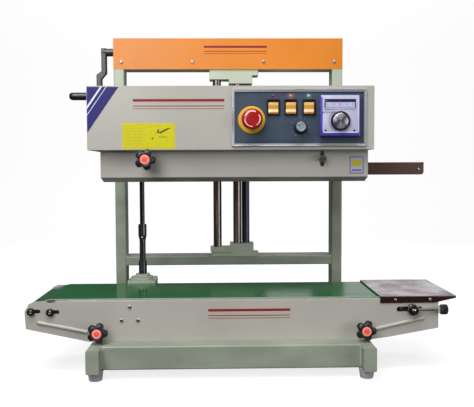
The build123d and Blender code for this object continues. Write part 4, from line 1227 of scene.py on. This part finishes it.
class BAND_SEALER_OT_rear_fittings(bpy.types.Operator):
    """Adds the cable gland, cooling louvres and cover screws on the back of the head"""

    bl_idname = "band_sealer.rear_fittings"
    bl_label = "Rear fittings"

    def execute(self, context):
        low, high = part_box("head_case")
        x, z = -235 * MM, 476 * MM
        lobed_piece(
            "cable_gland", "head", moulded("gland_plastic", colours().black, roughness=0.4),
            mm(
                (0.0, 11), (9.6, 11), (11, 12.2), (11, 15), (9.4, 16.4), (8.4, 20), (6.4, 22.5), (4.2, 23),
                (4.0, 18), (0.0, 18)),
            (9.5 * MM, 6, 0.35), place(TO_BACK, x, CASE_BACK, z), 72)
        louvres = bmesh.new()
        for row in range(6):
            for centre in (120, 180):
                level = (480 + 11 * row) * MM
                before = set(louvres.verts)
                slab(
                    louvres, ((centre - 22) * MM, CASE_BACK - 0.3 * MM, level),
                    ((centre + 22) * MM, CASE_BACK + 3.2 * MM, level + 5 * MM), 1.5 * MM, 3)
                for vertex in added(louvres, before):
                    if vertex.co.z < level + 1.5 * MM and vertex.co.y > CASE_BACK + 1 * MM:
                        vertex.co.z += 0.8 * MM
        sheet = enamel("louvre_enamel", colours().sheet, roughness=0.40, peel=1500.0)
        finished("cooling_louvres", louvres, "head", sheet, "panel_paint", crease=50)
        screws = bmesh.new()
        slots = bmesh.new()
        for x in (low.x + 14 * MM, -90 * MM, 90 * MM, high.x - 14 * MM):
            for z in (low.z + 12 * MM, high.z - 12 * MM):
                seat = place(TO_BACK, x, CASE_BACK, z)
                turned(
                    screws, mm((0.0, 0.0), (3.8, 0.0), (3.6, 1.2), (2.4, 2.1), (0.0, 2.4)), seat, steps=28)
                recess(slots, seat @ Matrix.Translation((0, 0, 2.3 * MM)), 2.0 * MM, 0.4 * MM)
        finished("rear_screws", screws, "head", brushed("rear_screw_steel", (0.5, 0.5, 0.5)))
        finished(
            "rear_screw_recesses", slots, "head",
            moulded("rear_recess_shadow", (0.02, 0.02, 0.02), roughness=0.6))
        return {"FINISHED"}


# ------------------------------------------------------------------ labels
def decal(name, points, front, body, material):
    """A printed film on a surface that faces the operator."""
    film = bmesh.new()
    sheet_metal(film, points, front - 0.15 * MM, front + 0.02 * MM)
    finished(name, film, body, material)


def bar(left, right, low, high):
    """The (x, z) corners of an upright rectangle."""
    return [(left, low), (right, low), (right, high), (left, high)]


class BAND_SEALER_OT_labels(bpy.types.Operator):
    """Adds plain labels: a striped corner, a ruled yellow plate, dark red stripes and a framed note"""

    bl_idname = "band_sealer.labels"
    bl_label = "Labels"

    def execute(self, context):
        paint = colours()
        low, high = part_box("head_case")
        front = low.y
        blue = printed("corner_blue_film", paint.sticker)
        white = printed("corner_white_film", (0.72, 0.72, 0.78))
        left, top = low.x + 0.8 * MM, high.z - 2.0 * MM
        slope = 1.444
        width, height = 60 * MM, 60 * slope * MM
        decal("corner_film", [(left, top), (left, top - height), (left + width, top)], front, "head", blue)
        for index, (start, stop) in enumerate(((25.0, 29.0), (36.0, 37.4))):
            stripe = [
                (left, top - start * slope * MM), (left, top - stop * slope * MM), (left + stop * MM, top),
                (left + start * MM, top)]
            decal(f"corner_stripe_{index + 1}", stripe, front - 0.12 * MM, "head", white)

        yellow = printed("label_yellow_film", paint.label)
        dark = printed("label_dark_ink", (0.10, 0.09, 0.01))
        rule = printed("label_rule_ink", (0.46, 0.40, 0.01))
        plate = (-226.5 * MM, -126.5 * MM, 443.5 * MM, 492.5 * MM)
        decal("label_plate", bar(*plate), front, "head", yellow)
        inner = bmesh.new()
        inset, line = 3 * MM, 0.5 * MM
        start, stop, base, head = plate[0] + inset, plate[1] - inset, plate[2] + inset, plate[3] - inset
        rules = [
            bar(start, stop, base, base + line), bar(start, stop, head - line, head),
            bar(start, start + line, base, head), bar(stop - line, stop, base, head)]
        for row in range(6):
            z = head - (7 + 6 * row) * MM
            rules.append(bar(start + inset, start + (42 - 5 * (row % 2)) * MM, z, z + 1.1 * MM))
        for points in rules:
            sheet_metal(inner, points, front - 0.24 * MM, front - 0.10 * MM)
        finished("label_rules", inner, "head", rule)
        sketch = bmesh.new()
        for points in (
            [(-160, 474), (-141, 483), (-135, 483), (-154, 472.5)],
            [(-162, 473), (-158, 475), (-156, 481), (-159, 481)],
            bar(-158, -142, 465.5, 466.5),
            bar(-171, -168, 462, 465),
        ):
            sheet_metal(sketch, mm(*points), front - 0.24 * MM, front - 0.10 * MM)
        finished("label_sketch", sketch, "head", dark)

        red = printed("trim_red_ink", paint.trim)
        cover_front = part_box("lift_cover")[0].y
        stripes = {
            "cover": ("frame", cover_front, -79, 72, 694),
            "case": ("head", front, -206, -32, 533),
            "conveyor": ("frame", PLATE_FACE, -66, 96, 124),
        }
        for name, (body, y, start, stop, level) in stripes.items():
            trim = bmesh.new()
            for drop, thick in ((0.0, 5.0), (9.0, 1.6), (14.0, 1.0)):
                points = bar(start * MM, stop * MM, (level - drop) * MM, (level - drop + thick) * MM)
                sheet_metal(trim, points, y - 0.12 * MM, y + 0.02 * MM)
            finished(f"{name}_trim_stripes", trim, body, red)

        note_layers = (
            ("guard_note_edge", (213, 240, 395, 428), 0.0, "note_edge_ink", (0.05, 0.05, 0.11)),
            ("guard_note", (214.5, 238.5, 396.5, 426.5), 0.1, "note_film", (0.40, 0.40, 0.55)),
            ("guard_note_band", (217, 236, 409, 421), 0.2, "note_band_ink", (0.46, 0.42, 0.03)),
            ("guard_note_rule", (217, 236, 400, 403), 0.2, "note_rule_ink", (0.10, 0.10, 0.24)),
        )
        for name, bounds, raised, ink, colour in note_layers:
            points = bar(*(bound * MM for bound in bounds))
            decal(name, points, PLATE_FACE - raised * MM, "head", printed(ink, colour))
        return {"FINISHED"}


# ------------------------------------------------------------------ stage
def area_light(name, power, size, spot, target):
    light = bpy.data.lights.new(name, "AREA")
    light.energy = power
    light.shape = "RECTANGLE"
    light.size, light.size_y = size
    lamp = bpy.data.objects.new(name, light)
    lamp.location = spot
    lamp.rotation_euler = (Vector(target) - Vector(spot)).to_track_quat("-Z", "Y").to_euler()
    lamp.visible_camera = False
    bpy.context.scene.collection.objects.link(lamp)


class BAND_SEALER_OT_stage(bpy.types.Operator):
    """Builds the pale floor and backdrop, the soft lights and the camera"""

    bl_idname = "band_sealer.stage"
    bl_label = "Stage"

    def execute(self, context):
        stage = context.scene.band_sealer_stage
        sweep = bmesh.new()
        angles = [math.radians(15 * step) for step in range(1, 7)]
        bend = [(2.2 + 1.2 * math.sin(angle), 1.2 - 1.2 * math.cos(angle)) for angle in angles]
        points = [sweep.verts.new((-7.0, y, z)) for y, z in [(-6.0, 0.0), (2.2, 0.0), *bend, (3.4, 6.0)]]
        lines = [sweep.edges.new(pair) for pair in zip(points, points[1:])]
        made = bmesh.ops.extrude_edge_only(sweep, edges=lines)["geom"]
        moved = [item for item in made if isinstance(item, bmesh.types.BMVert)]
        bmesh.ops.translate(sweep, verts=moved, vec=(14.0, 0.0, 0.0))
        data = bpy.data.meshes.new("backdrop")
        sweep.to_mesh(data)
        sweep.free()
        data.shade_smooth()
        backdrop = bpy.data.objects.new("backdrop", data)
        context.scene.collection.objects.link(backdrop)
        paper = Finish(
            "backdrop_paper", 0.85, Emission_Color=(1.0, 1.0, 1.0, 1.0), Emission_Strength=stage.paper)
        fibre = paper.noise(240.0, detail=3.0)
        paper.feed("Base Color", paper.blend(fibre, (0.26, 0.26, 0.26), (0.30, 0.30, 0.30)))
        backdrop.data.materials.append(paper.material)
        backdrop.visible_diffuse = False
        backdrop.visible_glossy = False

        world = bpy.data.worlds.new("surround")
        world.use_nodes = True
        surround = world.node_tree.nodes["Background"]
        surround.inputs["Color"].default_value = (0.95, 0.98, 1.0, 1.0)
        surround.inputs["Strength"].default_value = stage.sky
        context.scene.world = world
        context.scene.view_settings.view_transform = "Standard"

        lamps = (
            ("key_light", stage.key, (1.2, 1.0), (-0.9, -1.6, 1.9), (0.0, 0.0, 0.35)),
            ("top_light", stage.top, (2.0, 0.7), (-0.1, -0.95, 2.4), (0.0, -0.15, 0.2)),
            ("left_fill_light", stage.fill, (1.4, 1.0), (-1.0, -2.3, 1.15), (0.0, 0.0, 0.35)),
            ("right_fill_light", stage.fill, (1.2, 1.2), (2.0, -1.7, 0.5), (0.0, 0.0, 0.35)),
            ("back_light", stage.back, (2.0, 0.6), (0.0, 1.3, 1.9), (0.0, 0.1, 0.3)),
            ("backdrop_light", 30.0, (5.0, 1.0), (0.0, 1.9, 2.6), (0.0, 3.3, 1.0)),
            ("window_light", 0.10, (0.22, 0.22), (0.29, 1.8, 0.50), (0.29, 0.0, 0.50)),
            ("tray_light", 0.40, (0.6, 0.3), (0.86, 1.8, 0.52), (0.86, 0.0, 0.52)),
        )
        for name, power, size, spot, target in lamps:
            area_light(name, power, size, spot, target)

        ahead = Vector(
            (
                math.sin(stage.turn) * math.cos(stage.dip), math.cos(stage.turn) * math.cos(stage.dip),
                -math.sin(stage.dip)))
        level = Vector((math.cos(stage.turn), -math.sin(stage.turn), 0.0))
        upright = level.cross(ahead)
        side = math.cos(stage.roll) * level + math.sin(stage.roll) * upright
        rise = math.cos(stage.roll) * upright - math.sin(stage.roll) * level
        lens = bpy.data.cameras.new("camera")
        lens.lens = stage.lens
        lens.sensor_width = 36.0
        camera = bpy.data.objects.new("camera", lens)
        aim = Matrix((side, rise, -ahead)).transposed().to_4x4()
        camera.matrix_world = Matrix.Translation(stage.eye) @ aim
        context.scene.collection.objects.link(camera)
        context.scene.camera = camera
        return {"FINISHED"}


# ------------------------------------------------------------------ registration
OPERATORS = (
    BAND_SEALER_OT_stage,
    BAND_SEALER_OT_cad_finishes,
    BAND_SEALER_OT_star_knobs,
    BAND_SEALER_OT_crank_grip,
    BAND_SEALER_OT_tension_knob,
    BAND_SEALER_OT_lead_screw,
    BAND_SEALER_OT_bezel,
    BAND_SEALER_OT_stop_button,
    BAND_SEALER_OT_rockers,
    BAND_SEALER_OT_speed_knob,
    BAND_SEALER_OT_controller,
    BAND_SEALER_OT_fixings,
    BAND_SEALER_OT_rear_fittings,
    BAND_SEALER_OT_labels,
)


class BAND_SEALER_PT_panel(bpy.types.Panel):
    bl_idname = "BAND_SEALER_PT_panel"
    bl_label = "Band sealer"
    bl_space_type = "VIEW_3D"
    bl_region_type = "UI"
    bl_category = "Band sealer"

    def draw(self, context):
        for operator in OPERATORS:
            self.layout.operator(operator.bl_idname)
        for group in ("band_sealer_colours", "band_sealer_sizes", "band_sealer_stage"):
            settings = getattr(context.scene, group)
            box = self.layout.box()
            for name in settings.__annotations__:
                box.prop(settings, name)


GROUPS = {
    "band_sealer_colours": BandSealerColours,
    "band_sealer_sizes": BandSealerSizes,
    "band_sealer_stage": BandSealerStage,
}


def register():
    for group in GROUPS.values():
        bpy.utils.register_class(group)
    for name, group in GROUPS.items():
        setattr(bpy.types.Scene, name, PointerProperty(type=group))
    for operator in OPERATORS:
        bpy.utils.register_class(operator)
    bpy.utils.register_class(BAND_SEALER_PT_panel)


def unregister():
    bpy.utils.unregister_class(BAND_SEALER_PT_panel)
    for operator in reversed(OPERATORS):
        bpy.utils.unregister_class(operator)
    for name, group in GROUPS.items():
        delattr(bpy.types.Scene, name)
        bpy.utils.unregister_class(group)


def main():
    register()
    for operator in OPERATORS:
        name = operator.bl_idname.split(".")[1]
        if getattr(bpy.ops.band_sealer, name)() != {"FINISHED"}:
            raise RuntimeError(f"{operator.bl_label} did not finish")


if __name__ == "__main__":
    main()
